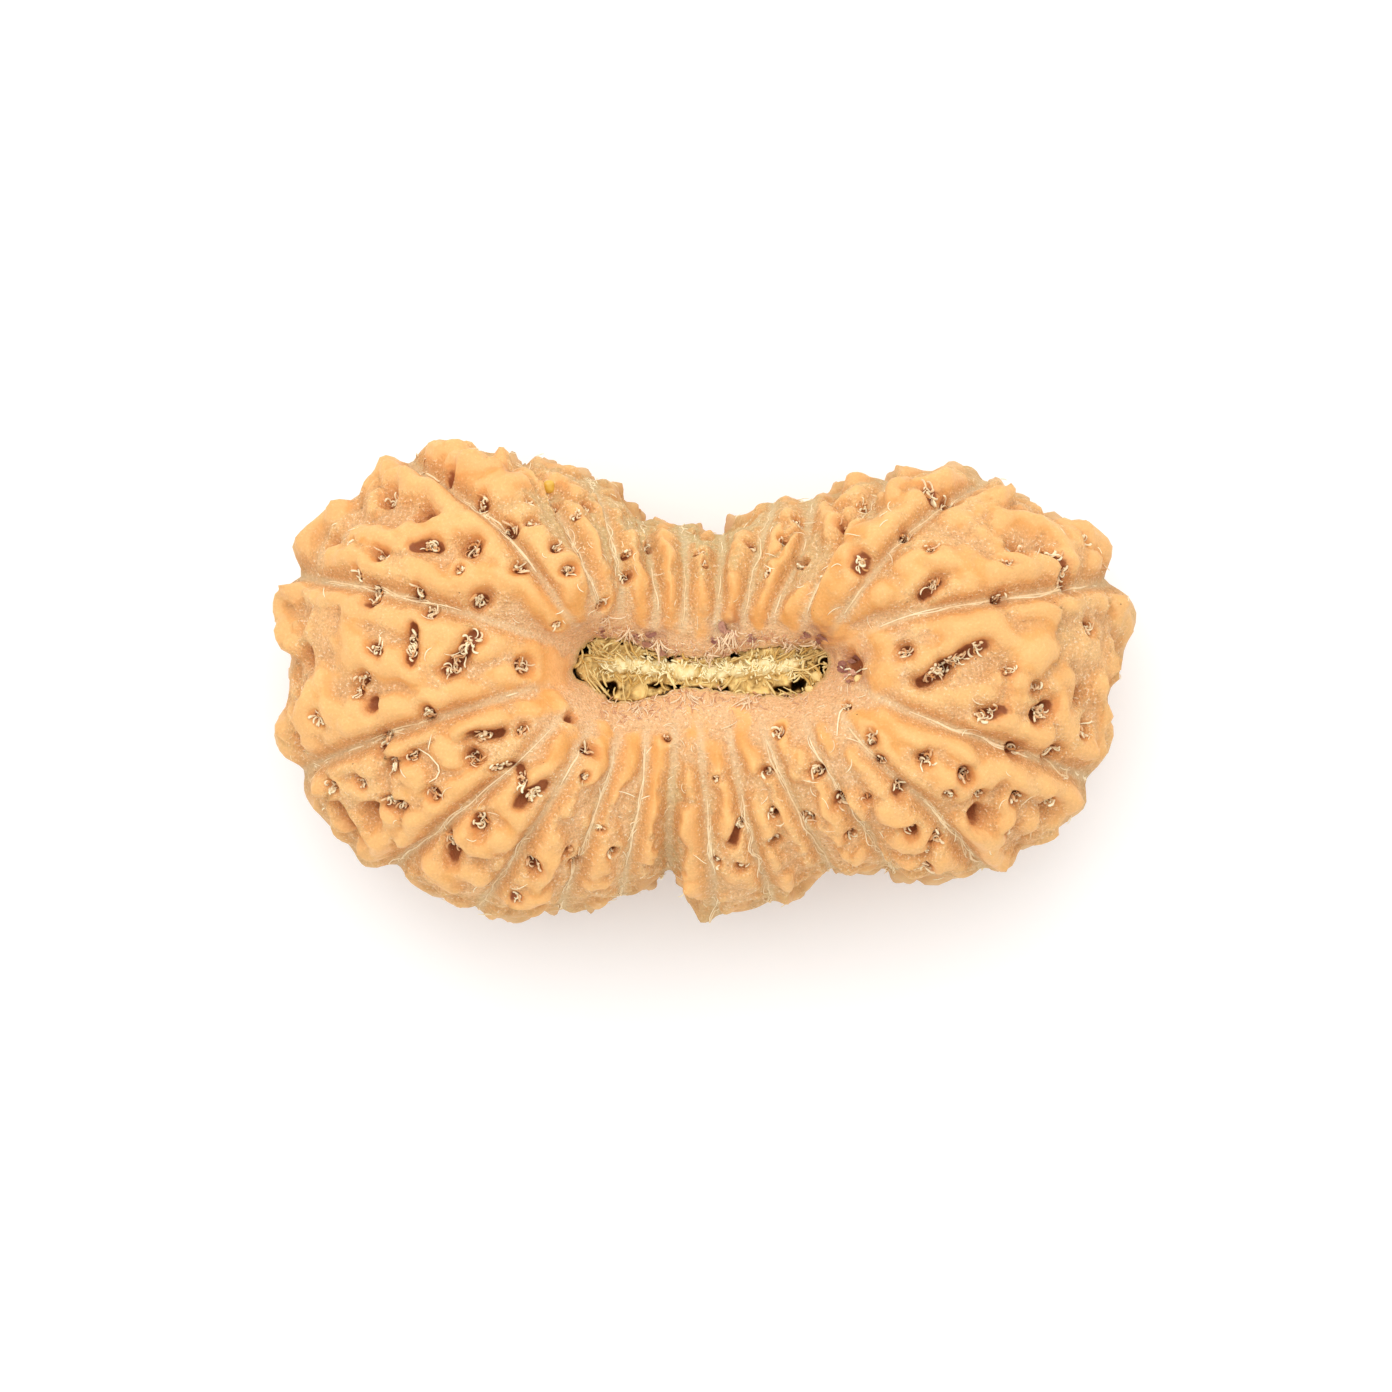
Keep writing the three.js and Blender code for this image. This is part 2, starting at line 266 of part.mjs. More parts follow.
// Pits of the upper side: radius, then one point, or two for a slot.
const PITS = [
  [0.45, -15.3, 9.4], [0.5, -13.7, 8.2], [0.35, -18.3, 6.9], [0.22, -17.0, 6.9], [0.38, -15.6, 6.1],
  [0.28, -13.9, 6.5, -12.9, 6.5], [0.42, -11.1, 6.8], [0.25, -11.9, 5.4], [0.35, -16.1, 4.9],
  [0.25, -17.0, 5.3], [0.38, -13.9, 4.7], [0.3, -16.2, 4.1], [0.33, -13.2, 3.5], [0.45, -10.8, 4.1],
  [0.3, -14.0, 2.7, -14.2, 1.2], [0.35, -15.8, 1.8], [0.42, -12.2, 0.7, -10.8, 2.3], [0.48, -8.8, 0.8],
  [0.3, -16.5, 0.4], [0.3, -16.9, -0.1], [0.4, -16.1, -0.7], [0.45, -19.4, 1.5], [0.3, -19.3, -0.3],
  [0.35, -18.6, -1.6], [0.3, -20.1, -2.4], [0.35, -13.5, -1.2], [0.33, -15.6, -2.3, -15.8, -3.1],
  [0.45, -15.0, -3.9], [0.3, -14.2, -3.6], [0.3, -16.7, -4.5], [0.38, -18.2, -4.9], [0.35, -13.1, -5.1],
  [0.35, -14.5, -6.0], [0.3, -15.3, -5.6], [0.5, -16.0, -6.1], [0.5, -17.7, -6.3, -16.7, -7.2],
  [0.4, -12.2, -7.6, -12.2, -8.4], [0.4, -10.7, -6.6], [0.42, -11.1, -3.6],
  [0.28, -11.3, -2.6, -10.0, -2.3], [0.28, -8.6, -2.0], [0.2, -10.1, -4.0, -9.4, -3.7],
  [0.3, -8.9, -4.0, -8.7, -4.6], [0.3, -9.0, -5.5, -7.7, -5.0], [0.32, -6.3, -1.4], [0.35, -5.5, -3.1],
  [0.22, -5.6, -4.3], [0.28, -6.6, -8.2], [0.28, -6.2, -9.0], [0.35, -8.3, -8.8], [0.2, -4.8, -6.9],
  [0.25, -4.4, -8.2], [0.25, -9.2, -10.2], [0.35, -10.8, 9.2], [0.35, -9.3, 7.6], [0.3, -8.4, 7.9],
  [0.35, -9.0, 5.6], [0.3, -7.1, 6.8], [0.3, -6.4, 5.5], [0.25, -7.2, 3.0], [0.3, -12.4, 10.3],
  [0.25, -7.1, 9.1], [0.2, -6.2, 8.3], [0.2, -8.4, 9.1], [0.2, -3.6, 6.6], [0.28, -3.6, 5.4],
  [0.3, -4.9, 3.7], [0.25, -5.6, 9.0], [0.25, -2.5, 7.2], [0.22, -0.3, 6.7], [0.18, -0.1, 6.1],
  [0.25, 3.7, 7.2], [0.35, 4.3, 6.3], [0.2, 2.8, 5.5], [0.25, 4.3, 8.3], [0.38, 6.3, 7.9],
  [0.25, 7.0, 8.3], [0.25, 7.3, 9.1], [0.2, 5.2, 5.3], [0.2, 2.0, 7.1], [0.28, 7.0, 5.8, 7.5, 6.2],
  [0.28, 9.4, 7.5], [0.3, 10.7, 6.4], [0.38, 11.6, 9.2], [0.4, 10.5, 9.4], [0.42, 14.7, 6.7],
  [0.3, 16.2, 6.2, 16.8, 6.1], [0.2, 14.3, 5.8], [0.3, 18.1, 6.7], [0.35, 17.2, 5.4], [0.35, 17.8, 5.0],
  [0.35, 10.2, 4.3, 10.8, 4.9], [0.4, 14.1, 4.1], [0.42, 18.5, 3.1], [0.4, 9.4, 1.6],
  [0.38, 10.2, 0.2, 11.5, 0.9], [0.38, 11.5, 0.9, 13.1, 2.0], [0.3, 14.4, 0.9], [0.33, 15.8, 0.0],
  [0.38, 18.2, -0.4], [0.38, 15.9, -1.3, 16.5, -1.2], [0.33, 12.9, -1.4, 14.1, -1.1],
  [0.42, 18.3, -1.9], [0.38, 17.0, -3.2], [0.42, 15.0, -3.5], [0.38, 10.3, -3.5], [0.38, 12.3, -4.2],
  [0.38, 14.9, -5.2], [0.42, 16.6, -5.8], [0.42, 13.0, -6.5], [0.28, 13.1, -5.5], [0.28, 11.4, -5.2],
  [0.33, 9.3, -5.0], [0.32, 7.8, -2.4], [0.2, 6.7, -1.0], [0.25, 8.3, -3.4], [0.4, 9.6, -7.0],
  [0.35, 10.9, -7.6], [0.25, 10.2, -8.2], [0.35, 14.6, -6.9], [0.22, 7.5, -5.7], [0.32, 6.2, -6.0],
  [0.35, 4.9, -4.2], [0.33, 4.8, -6.9], [0.33, 3.3, -2.1], [0.3, 2.6, -4.2], [0.25, 3.1, -6.1],
  [0.3, 3.4, -7.8], [0.22, 1.5, -6.8, 1.2, -7.7], [0.25, 6.6, -7.6], [0.15, 0.5, -4.3],
  [0.2, 0.5, -9.0], [0.25, 1.8, -9.1], [0.2, -1.9, -2.4], [0.65, 6.9, 0.9], [0.4, 10.3, -8.9],
];

// Ridges and pits of the rim and the under side, drawn by rule
const LINE_PITCH = 2.0; // between the crest lines of a face, at the rim
const LINE_ENDS = [0.43, 0.93]; // from above the rim to just short of the lower lip
const PIECE_STEPS = [0.075, 0.035]; // how much of that a piece of ridge takes, and the gap after it
const LINE_WANDER = 0.24; // of a line's own share of the face
const DRAWN_HALF = [0.42, 0.3]; // half width of a drawn ridge: least, and what the draw adds
const DRAWN_HEIGHT = [0.75, 0.45];
const DRAWN_PIT = [0.28, 0.2];
const LINK = { chance: 0.55, half: 0.35, height: 0.75 }; // a short ridge from line to line
const SHORT_LINE = 0.78; // where every other line of a face ends
const UNDER_SLIM = { from: 0.6, to: 0.9, ridge: 0.45, pit: 0.4 }; // how much slimmer towards the lip

// The core in the mouth: a thin upright leaf, with its middle line seen from above
const CORE_TOP = 5.75; // above the middle plane
const CORE_LINE = [[-5.1, 1.1], [-3, 0.95], [-1, 0.65], [0, 0.65], [2, 0.8], [4.3, 1.0]];
const CORE_HALF = [0.26, 0.42]; // half thickness at the top, and deep in the hole
const CORE_RIB = 0.09;
const CORE_RAGGED = 0.3; // unevenness of its ends
const CORE_ROWS = 10;
const CORE_COLUMNS = 48;

// Small helpers
const clamp01 = (x) => Math.min(1, Math.max(0, x));
const smooth = (a, b, x) => {
  const t = clamp01((x - a) / (b - a));
  return t * t * (3 - 2 * t);
};

// A repeatable draw from 0 to 1 for each whole number n.
const draw = (n) => {
  const x = Math.sin(n * 12.9898 + 4.1414) * 43758.5453;
  return x - Math.floor(x);
};

// A smooth curve through four values at a place t from 0 to 1 between the middle two.
const spline = (a, b, c, d, t) =>
  b + 0.5 * t * (c - a + t * (2 * a - 5 * b + 4 * c - d + t * (3 * (b - c) + d - a)));

// Number k of a groove's eight, at a place u round the bead, where whole numbers are the grooves.
function acrossGrooves(k, u) {
  const i = Math.floor(u);
  const at = (n) => GROOVES[((n % FACES) + FACES) % FACES][k];
  return spline(at(i - 1), at(i), at(i + 1), at(i + 2), u - i);
}

// The plan place at u round the bead and a share f of the way from mouth to rim.
function plan(u, f) {
  const along = (axis) => {
    const p = [0, 2, 4, 6].map((k) => acrossGrooves(k + axis, u));
    const i = Math.min(2, Math.floor(f * 3));
    const before = i > 0 ? p[i - 1] : 2 * p[0] - p[1];
    const after = i < 2 ? p[i + 2] : 2 * p[3] - p[2];
    return spline(before, p[i], p[i + 1], after, f * 3 - i);
  };
  return [along(0), along(1)];
}

// How far u is from the waist: 0 there, 1 in the full lobes.
const lobeShare = (u) => smooth(LOBE_FROM, LOBE_FULL, Math.abs(acrossGrooves(6, u)));

// The smooth body under the relief: u round the bead, s from the upper lip (0) over the rim (0.5) to the
// lower lip (1).
function body(u, s) {
  const upper = s <= 0.5;
  const t = upper ? 2 * s : 2 * (1 - s);
  const size = upper ? UPPER : UNDER;
  const top = size.waist + (size.lobe - size.waist) * lobeShare(u);
  let f, z;
  if (t < CREST_STEP) {
    f = (CREST_SHARE * t) / CREST_STEP;
    z = top - (top - LIP) * (1 - t / CREST_STEP) ** LIP_CURVE;
  } else {
    const angle = ((Math.PI / 2) * (1 - t)) / (1 - CREST_STEP);
    f = CREST_SHARE + (1 - CREST_SHARE) * Math.cos(angle) ** ROUNDNESS;
    z = top * Math.sin(angle) ** ROUNDNESS;
  }
  const [x, y] = plan(u, clamp01(f));
  return new THREE.Vector3(x, y, upper ? z : -z);
}

// The outward direction of the smooth body.
function outward(u, s) {
  const step = 1e-3;
  const across = body(u + step, s).sub(body(u - step, s));
  const along = body(u, Math.min(1, s + step)).sub(body(u, Math.max(0, s - step)));
  return across.cross(along).normalize();
}

// How far the outline stands out of the smooth rim, as [place round the bead, height], in order.
function readRim() {
  const rim = Array.from({ length: FACES * 40 }, (_, i) => ({ u: i / 40, at: body(i / 40, 0.5) }));
  return OUTLINE.map(([x, y]) => {
    const away = ({ at }) => (at.x - x) ** 2 + (at.y - y) ** 2;
    const place = rim.reduce((best, one) => (away(one) < away(best) ? one : best));
    const out = outward(place.u, 0.5);
    return [place.u, (x - place.at.x) * out.x + (y - place.at.y) * out.y];
  }).sort((a, b) => a[0] - b[0]);
}

const rimKnobs = readRim();
function rimHeight(u) {
  const t = ((u % FACES) + FACES) % FACES;
  const found = rimKnobs.findIndex(([at]) => at > t);
  const after = rimKnobs[found < 0 ? 0 : found];
  const before = rimKnobs[found <= 0 ? rimKnobs.length - 1 : found - 1];
  const span = (after[0] - before[0] + FACES) % FACES;
  const share = span > 0 ? ((t - before[0] + FACES) % FACES) / span : 0;
  return before[1] + (after[1] - before[1]) * share;
}

// The highest that the relief may be at a place p of the smooth body, so that nothing passes the outline.
function underOutline(u, p) {
  const inside = body(u, 0.5).sub(p);
  return rimHeight(u) + RIM_SLOPE * Math.hypot(inside.x, inside.y);
}

// Places of the upper side, as { u, s, at, seen }: at on the smooth body, seen out on the relief over it.
const LOOKUP = [];
for (let i = 0; i < FACES * 12; i++)
  for (let j = 2; j <= 60; j++) {
    const [u, s] = [i / 12, j / 120];
    const at = body(u, s);
    const height = Math.min(SEEN_HEIGHT * smooth(0, 0.3, 2 * s), underOutline(u, at));
    LOOKUP.push({ u, s, at, seen: at.clone().addScaledVector(outward(u, s), height) });
  }

// The place whose relief is seen at a plan point.
function onTop(x, y) {
  let best = LOOKUP[0];
  let least = Infinity;
  for (const place of LOOKUP) {
    const d = (place.seen.x - x) ** 2 + (place.seen.y - y) ** 2;
    if (d < least) {
      least = d;
      best = place;
    }
  }
  return best;
}

// Every ridge and pit as { half, height, points } and { radius, a, b, place }.
function readRidges() {
  return RIDGES.map(([half, height, ...xy]) => ({
    half,
    height,
    points: xy.filter((_, i) => i % 2 === 0).map((x, i) => onTop(x, xy[2 * i + 1]).at),
  }));
}
function readPits() {
  return PITS.map(([radius, x, y, x2 = x, y2 = y]) => {
    const place = onTop(x, y);
    return { radius, a: place.at, b: onTop(x2, y2).at, place };
  });
}

// The rim and the under side: each face has crest lines in pieces, links between them, and pits.
function drawRelief(ridges, pits) {
  let n = 1;
  for (let k = 0; k < FACES; k++) {
    const width = body(k, 0.5).distanceTo(body(k + 1, 0.5));
    const lines = Math.max(1, Math.round(width / LINE_PITCH));
    for (let j = 0; j < lines; j++) {
      const phase = 2 * Math.PI * draw(n++);
      const line = (s) => k + (j + 0.5 + LINE_WANDER * Math.sin(phase + 19 * s)) / lines;
      const last = j % 2 ? SHORT_LINE : LINE_ENDS[1];
      let s = LINE_ENDS[0] + 0.03 * draw(n++);
      while (s < last) {
        const end = Math.min(last, s + PIECE_STEPS[0] * (0.7 + 0.8 * draw(n++)));
        const half = DRAWN_HALF[0] + DRAWN_HALF[1] * draw(n++);
        const height = DRAWN_HEIGHT[0] + DRAWN_HEIGHT[1] * draw(n++);
        const points = [0, 1, 2].map((i) => s + ((end - s) * i) / 2).map((at) => body(line(at), at));
        const slim = smooth(UNDER_SLIM.from, UNDER_SLIM.to, s);
        ridges.push({ half: half * (1 - UNDER_SLIM.ridge * slim), height, points });
        if (j + 1 < lines && draw(n++) > 1 - LINK.chance) {
          const across = body(line(s) + 1 / lines, s + 0.02);
          ridges.push({ half: LINK.half, height: LINK.height, points: [points[1], across] });
        }
        const pitAt = [line(end) + (draw(n++) - 0.5) / lines, end + PIECE_STEPS[1] / 2];
        if (pitAt[1] < last - 0.02) {
          const at = body(...pitAt);
          const radius = (DRAWN_PIT[0] + DRAWN_PIT[1] * draw(n++)) * (1 - UNDER_SLIM.pit * slim);
          pits.push({ radius, a: at, b: at, place: { u: pitAt[0], s: pitAt[1], at } });
        }
        s = end + PIECE_STEPS[1];
      }
    }
  }
}

const ridges = readRidges();
const pits = readPits();
drawRelief(ridges, pits);

// Distance from p to the piece from a to b.
const nearest = new THREE.Vector3();
function distanceTo(p, a, b) {
  nearest.subVectors(b, a);
  const along = (p.x - a.x) * nearest.x + (p.y - a.y) * nearest.y + (p.z - a.z) * nearest.z;
  const t = clamp01(along / (nearest.lengthSq() || 1));
  return nearest.multiplyScalar(t).add(a).distanceTo(p);
}

// Height over a ridge's foot, for a distance from its crest in half widths.
function ridgeProfile(ratio) {
  return CREST_PART / (1 + ratio ** STEEP) + (1 - CREST_PART) * (1 - smooth(0.5, RIDGE_REACH, ratio));
}

// Height of the relief over the smooth body at a place.
function relief(u, s) {
  const p = body(u, s);
  const fromGroove = p.distanceTo(body(Math.round(u), s));
  const share = 1 - Math.abs(2 * s - 1);
  const deepening = smooth(GROOVE_FADE[0], GROOVE_FADE[1], share);
  const open = 1 - GROOVE_DEPTH * deepening * Math.exp(-((fromGroove / GROOVE_HALF) ** 2));
  let sum = 0;
  for (const { half, height, points } of ridges) {
    let d = Infinity;
    for (let i = 1; i < points.length; i++) d = Math.min(d, distanceTo(p, points[i - 1], points[i]));
    if (d < RIDGE_REACH * half) sum += (height * ridgeProfile(d / half)) ** MERGE_POWER;
  }
  const crest = sum ** (1 / MERGE_POWER);
  const nearMouth = 1 - smooth(MOUTH_REACH[0], MOUTH_REACH[1], share);
  const low = NEAR_MOUTH * nearMouth + OVER_WAIST * (1 - lobeShare(u));
  let h = open * (SWELL + crest) * (1 - low);
  for (const { radius, a, b } of pits) {
    const d = distanceTo(p, a, b);
    if (d > radius * PIT_REACH) continue;
    h += COLLAR.rise * Math.exp(-(((d - COLLAR.at * radius) / COLLAR.spread) ** 2));
    const depth = radius + (a === b || a.equals(b) ? PIT_DEPTH : SLOT_DEPTH);
    h -= depth * Math.exp(-((d / radius) ** PIT_SIDE));
  }
  const highest = underOutline(u, p);
  h = h * smooth(0, MOUTH_FADE, share) - Math.max(0, PEAK * open - highest);
  h = Math.min(h, highest);
  // Round the rim the relief is the outline's own.
  const hold = Math.exp(-(((s - 0.5) / RIM_BAND) ** 2));
  return h + (rimHeight(u) - h) * hold;
}

// The mean of the relief over part of a cell, du and ds either way.
function softRelief(u, s, du, ds) {
  let sum = 0;
  for (const i of [-1, 0, 1]) for (const j of [-1, 0, 1]) sum += relief(u + i * du, s + j * ds);
  return sum / 9;
}

// A closed surface from a grid of points that meets itself both ways, faces out.
function ringOfRings(columns, rows, pointAt) {
  const position = [];
  const index = [];
  for (let i = 0; i < columns; i++)
    for (let j = 0; j < rows; j++) position.push(...pointAt(i, j));
  const at = (i, j) => (i % columns) * rows + (j % rows);
  for (let i = 0; i < columns; i++)
    for (let j = 0; j < rows; j++) {
      index.push(at(i, j), at(i + 1, j), at(i + 1, j + 1));
      index.push(at(i, j), at(i + 1, j + 1), at(i, j + 1));
    }
  const geometry = new THREE.BufferGeometry();
  geometry.setAttribute("position", new THREE.Float32BufferAttribute(position, 3));
  geometry.setIndex(index);
  geometry.computeVertexNormals();
  return geometry;
}

// The columns' places round the bead: one in each groove, one on either shoulder, the rest evenly
// between.
function columnPlaces() {
  const places = [];
  for (let k = 0; k < FACES; k++) {
    const width = body(k, 0.5).distanceTo(body(k + 1, 0.5));
    const edge = Math.min(SHOULDER_MOST, SHOULDER / width);
    const count = Math.max(1, Math.round((width * (1 - 2 * edge)) / CELL));
    places.push(k);
    for (let i = 0; i <= count; i++) places.push(k + edge + ((1 - 2 * edge) * i) / count);
  }
  return places;
}

// The grid's places on the outside, with the nearest one to each pit moved to the pit's middle.
function outsidePlaces(columns) {
  const rows = Array.from({ length: OUTER_ROWS + 1 }, (_, j) => j / OUTER_ROWS);
  const grid = columns.map((u) => rows.map((s) => ({ u, s, free: true })));
  for (const pit of pits) {
    let best = null;
    let least = Infinity;
    for (const column of grid)
      for (const node of column.slice(2, -2)) {
        const turn = Math.abs(node.u - pit.place.u);
        if (Math.min(turn, FACES - turn) > PIT_MOVE.u) continue;
        if (Math.abs(node.s - pit.place.s) > PIT_MOVE.s) continue;
        const d = body(node.u, node.s).distanceTo(pit.place.at);
        if (d < least) [least, best] = [d, node];
      }
    if (best && best.free && best.u % 1 !== 0)
      Object.assign(best, { u: pit.place.u, s: pit.place.s, free: false });
  }
  return grid;
}

function stoneGeometry() {
  const columns = columnPlaces();
  const grid = outsidePlaces(columns);
  return ringOfRings(columns.length, OUTER_ROWS + WALL_ROWS, (i, j) => {
    if (j > OUTER_ROWS) {
      const [x, y] = plan(columns[i], 0);
      return [x, y, -LIP + (2 * LIP * (j - OUTER_ROWS)) / WALL_ROWS];
    }
    const { u, s, free } = grid[i][j];
    const next = columns[i + 1] ?? FACES;
    const inGroove = u % 1 === 0;
    const du = free && !inGroove ? SOFTEN * (next - columns[i]) : 0;
    const ds = free && j > 1 && j < OUTER_ROWS - 1 ? SOFTEN / OUTER_ROWS : 0;
    const p = body(u, s).addScaledVector(outward(u, s), softRelief(u, s, du, ds));
    return [p.x, p.y, Math.max(p.z, -FOOT)];
  });
}

// The core: a ribbed leaf on edge in the hole, slimmer towards both mouths, with ragged ends.
function coreGeometry() {
  const line = new THREE.CatmullRomCurve3(CORE_LINE.map(([x, y]) => new THREE.Vector3(x, y, 0)));
  const middle = line.getPoint(0.5).toArray().slice(0, 2);
  const position = [...middle, -CORE_TOP, ...middle, CORE_TOP];
  const index = [];
  for (let j = 0; j <= CORE_ROWS; j++) {
    const z = CORE_TOP * Math.sin((Math.PI / 2) * ((2 * j) / CORE_ROWS - 1));
    const deep = 1 - smooth(2, 5, Math.abs(z));
    const ragged = j === 0 || j === CORE_ROWS ? CORE_RAGGED : 0;
    for (let i = 0; i < CORE_COLUMNS; i++) {
      const turn = (2 * Math.PI * i) / CORE_COLUMNS;
      const share = 0.5 - 0.5 * Math.cos(turn);
      const at = line.getPoint(share);
      const half = CORE_HALF[0] + (CORE_HALF[1] - CORE_HALF[0]) * deep + CORE_RIB * Math.sin(9.4 * i);
      const side = Math.sign(Math.sin(turn)) * Math.abs(Math.sin(turn)) ** 0.5;
      position.push(at.x, at.y + half * side, z + ragged * Math.sin(1.9 * i));
    }
  }
  const at = (i, j) => 2 + j * CORE_COLUMNS + (i % CORE_COLUMNS);
  for (let i = 0; i < CORE_COLUMNS; i++) {
    index.push(0, at(i, 0), at(i + 1, 0));
    index.push(1, at(i + 1, CORE_ROWS), at(i, CORE_ROWS));
    for (let j = 0; j < CORE_ROWS; j++) {
      index.push(at(i, j), at(i + 1, j + 1), at(i + 1, j));
      index.push(at(i, j), at(i, j + 1), at(i + 1, j + 1));
    }
  }
  const geometry = new THREE.BufferGeometry();
  geometry.setAttribute("position", new THREE.Float32BufferAttribute(position, 3));
  geometry.setIndex(index);
  geometry.computeVertexNormals();
  return geometry;
}

const stone = new THREE.Mesh(
  stoneGeometry(),
  new THREE.MeshStandardMaterial({ color: 0xe8ab62, roughness: 0.62, metalness: 0 }),
);
stone.name = "bead_stone";

const core = new THREE.Mesh(
  coreGeometry(),
  new THREE.MeshStandardMaterial({ color: 0xd9bf7c, roughness: 0.9, metalness: 0 }),
);
core.name = "core_fibre";

const bead = new THREE.Group();
bead.add(stone, core);
bead.position.set(-PLAN_CENTRE[0], -PLAN_CENTRE[1], FOOT);

export default bead;
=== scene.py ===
"""A rudraksha bead with twenty-four faces, lying on a pale floor and seen from straight above.

The stone's grooves, ridges and pits repeat the named values of the part's source, in millimetres seen from
above, and are drawn here much finer. Every piece is made in millimetres and scaled to metres.
"""

import math

import bpy
import numpy as np
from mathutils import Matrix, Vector
from mathutils.bvhtree import BVHTree


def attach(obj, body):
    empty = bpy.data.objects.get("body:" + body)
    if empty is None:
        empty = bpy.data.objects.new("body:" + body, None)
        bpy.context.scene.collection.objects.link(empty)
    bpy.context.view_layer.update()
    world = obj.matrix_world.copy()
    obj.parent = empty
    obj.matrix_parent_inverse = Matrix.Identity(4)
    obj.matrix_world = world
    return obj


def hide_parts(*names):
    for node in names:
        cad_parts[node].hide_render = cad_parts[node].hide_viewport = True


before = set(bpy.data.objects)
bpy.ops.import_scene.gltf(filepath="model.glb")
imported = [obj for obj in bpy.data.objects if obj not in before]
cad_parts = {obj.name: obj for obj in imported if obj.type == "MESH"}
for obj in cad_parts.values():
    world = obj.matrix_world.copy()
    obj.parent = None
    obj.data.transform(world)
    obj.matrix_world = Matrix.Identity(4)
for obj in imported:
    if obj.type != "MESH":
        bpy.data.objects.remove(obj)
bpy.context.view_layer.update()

MM = 0.001

# Sizes that the part's source also has
UPPER = {"lobe": 9.1, "waist": 7.0}
UNDER = {"lobe": 8.7, "waist": 6.8}
LIP = 5.9
FOOT = 9.0
PLAN_CENTRE = (-0.07, 0.17)
LOBE_FROM, LOBE_FULL = 3.0, 13.0
CREST_SHARE = 0.34
CREST_STEP = 0.22
LIP_CURVE = 1.8
ROUNDNESS = 0.9
GROOVE_HALF = 0.45
GROOVE_DEPTH = 0.85
SWELL = 0.38
RIM_BAND = 0.022
RIM_SLOPE = 1.6  # how fast the relief may rise inwards from the outline
PEAK = 1.3  # of the crests, which near the rim are lowered to that
SEEN_HEIGHT = 1.1  # of the relief that a place in the photograph lies on
GROOVE_FADE = (0.04, 0.3)
COLLAR_RISE, COLLAR_AT, COLLAR_SPREAD = 0.1, 1.7, 0.3
PIT_REACH = 4
MERGE_POWER = 4
LINE_PITCH = 2.0
LINE_ENDS = (0.43, 0.93)
PIECE_STEPS = (0.075, 0.035)
LINE_WANDER = 0.24
DRAWN_HALF = (0.42, 0.3)
DRAWN_HEIGHT = (0.75, 0.45)
DRAWN_PIT = (0.28, 0.2)
LINK_CHANCE, LINK_HALF, LINK_HEIGHT = 0.55, 0.35, 0.75
SHORT_LINE = 0.78
UNDER_SLIM = {"from": 0.6, "to": 0.9, "ridge": 0.45, "pit": 0.4}
CORE_TOP = 5.75
CORE_WIDE = 0.56  # half width of the finished core
CORE_LINE = ((-5.1, 1.1), (-3, 0.95), (-1, 0.65), (0, 0.65), (2, 0.8), (4.3, 1.0))

# The twenty-four grooves, clockwise from the left: mouth, two points on the way, rim.
GROOVES = (
    (-6.0, 1.65, -10.2, 3.0, -15.0, 4.3, -19.2, 5.1),
    (-5.6, 2.1, -7.4, 4.4, -10.0, 7.5, -14.2, 10.4),
    (-5.0, 2.25, -5.7, 4.9, -6.9, 7.4, -9.0, 10.4),
    (-4.1, 2.15, -4.2, 4.6, -4.7, 7.1, -5.7, 9.8),
    (-2.7, 1.65, -2.4, 3.9, -2.8, 6.0, -3.3, 7.9),
    (-1.3, 1.35, -1.1, 3.6, -1.0, 5.7, -1.2, 7.7),
    (0.4, 1.3, 0.5, 3.5, 0.65, 5.5, 0.8, 7.3),
    (1.5, 1.6, 1.9, 4.0, 2.5, 6.4, 3.3, 8.7),
    (2.9, 1.8, 3.5, 4.1, 4.6, 6.2, 5.1, 8.9),
    (4.2, 1.8, 5.3, 4.3, 6.8, 6.7, 8.8, 9.6),
    (5.0, 1.8, 7.2, 4.4, 9.6, 7.1, 13.4, 9.6),
    (5.55, 1.5, 9.6, 3.3, 14.2, 4.1, 19.1, 4.9),
    (5.7, 0.8, 9.4, -1.2, 13.6, -2.7, 18.2, -4.4),
    (5.2, 0.2, 7.6, -3.1, 10.4, -5.6, 13.3, -8.7),
    (4.2, -0.4, 5.4, -3.4, 7.1, -6.0, 9.0, -8.8),
    (2.2, -0.4, 3.2, -3.5, 4.6, -6.3, 6.0, -8.8),
    (0.7, -0.2, 1.3, -3.6, 2.0, -7.0, 3.1, -10.2),
    (-0.5, -0.05, -0.2, -3.8, 0.1, -7.2, 0.5, -10.6),
    (-1.6, -0.2, -1.6, -3.4, -1.8, -6.3, -1.8, -8.8),
    (-2.9, -0.6, -3.0, -3.9, -3.6, -7.1, -4.2, -10.0),
    (-4.0, -0.75, -4.8, -4.2, -5.9, -7.4, -7.1, -10.6),
    (-4.9, -0.45, -6.7, -4.1, -8.7, -7.3, -11.0, -10.6),
    (-5.6, 0.05, -8.3, -3.0, -11.6, -5.9, -15.0, -8.5),
    (-6.2, 0.6, -10.4, -0.8, -14.7, -2.2, -19.3, -4.1),
)
FACES = len(GROOVES)

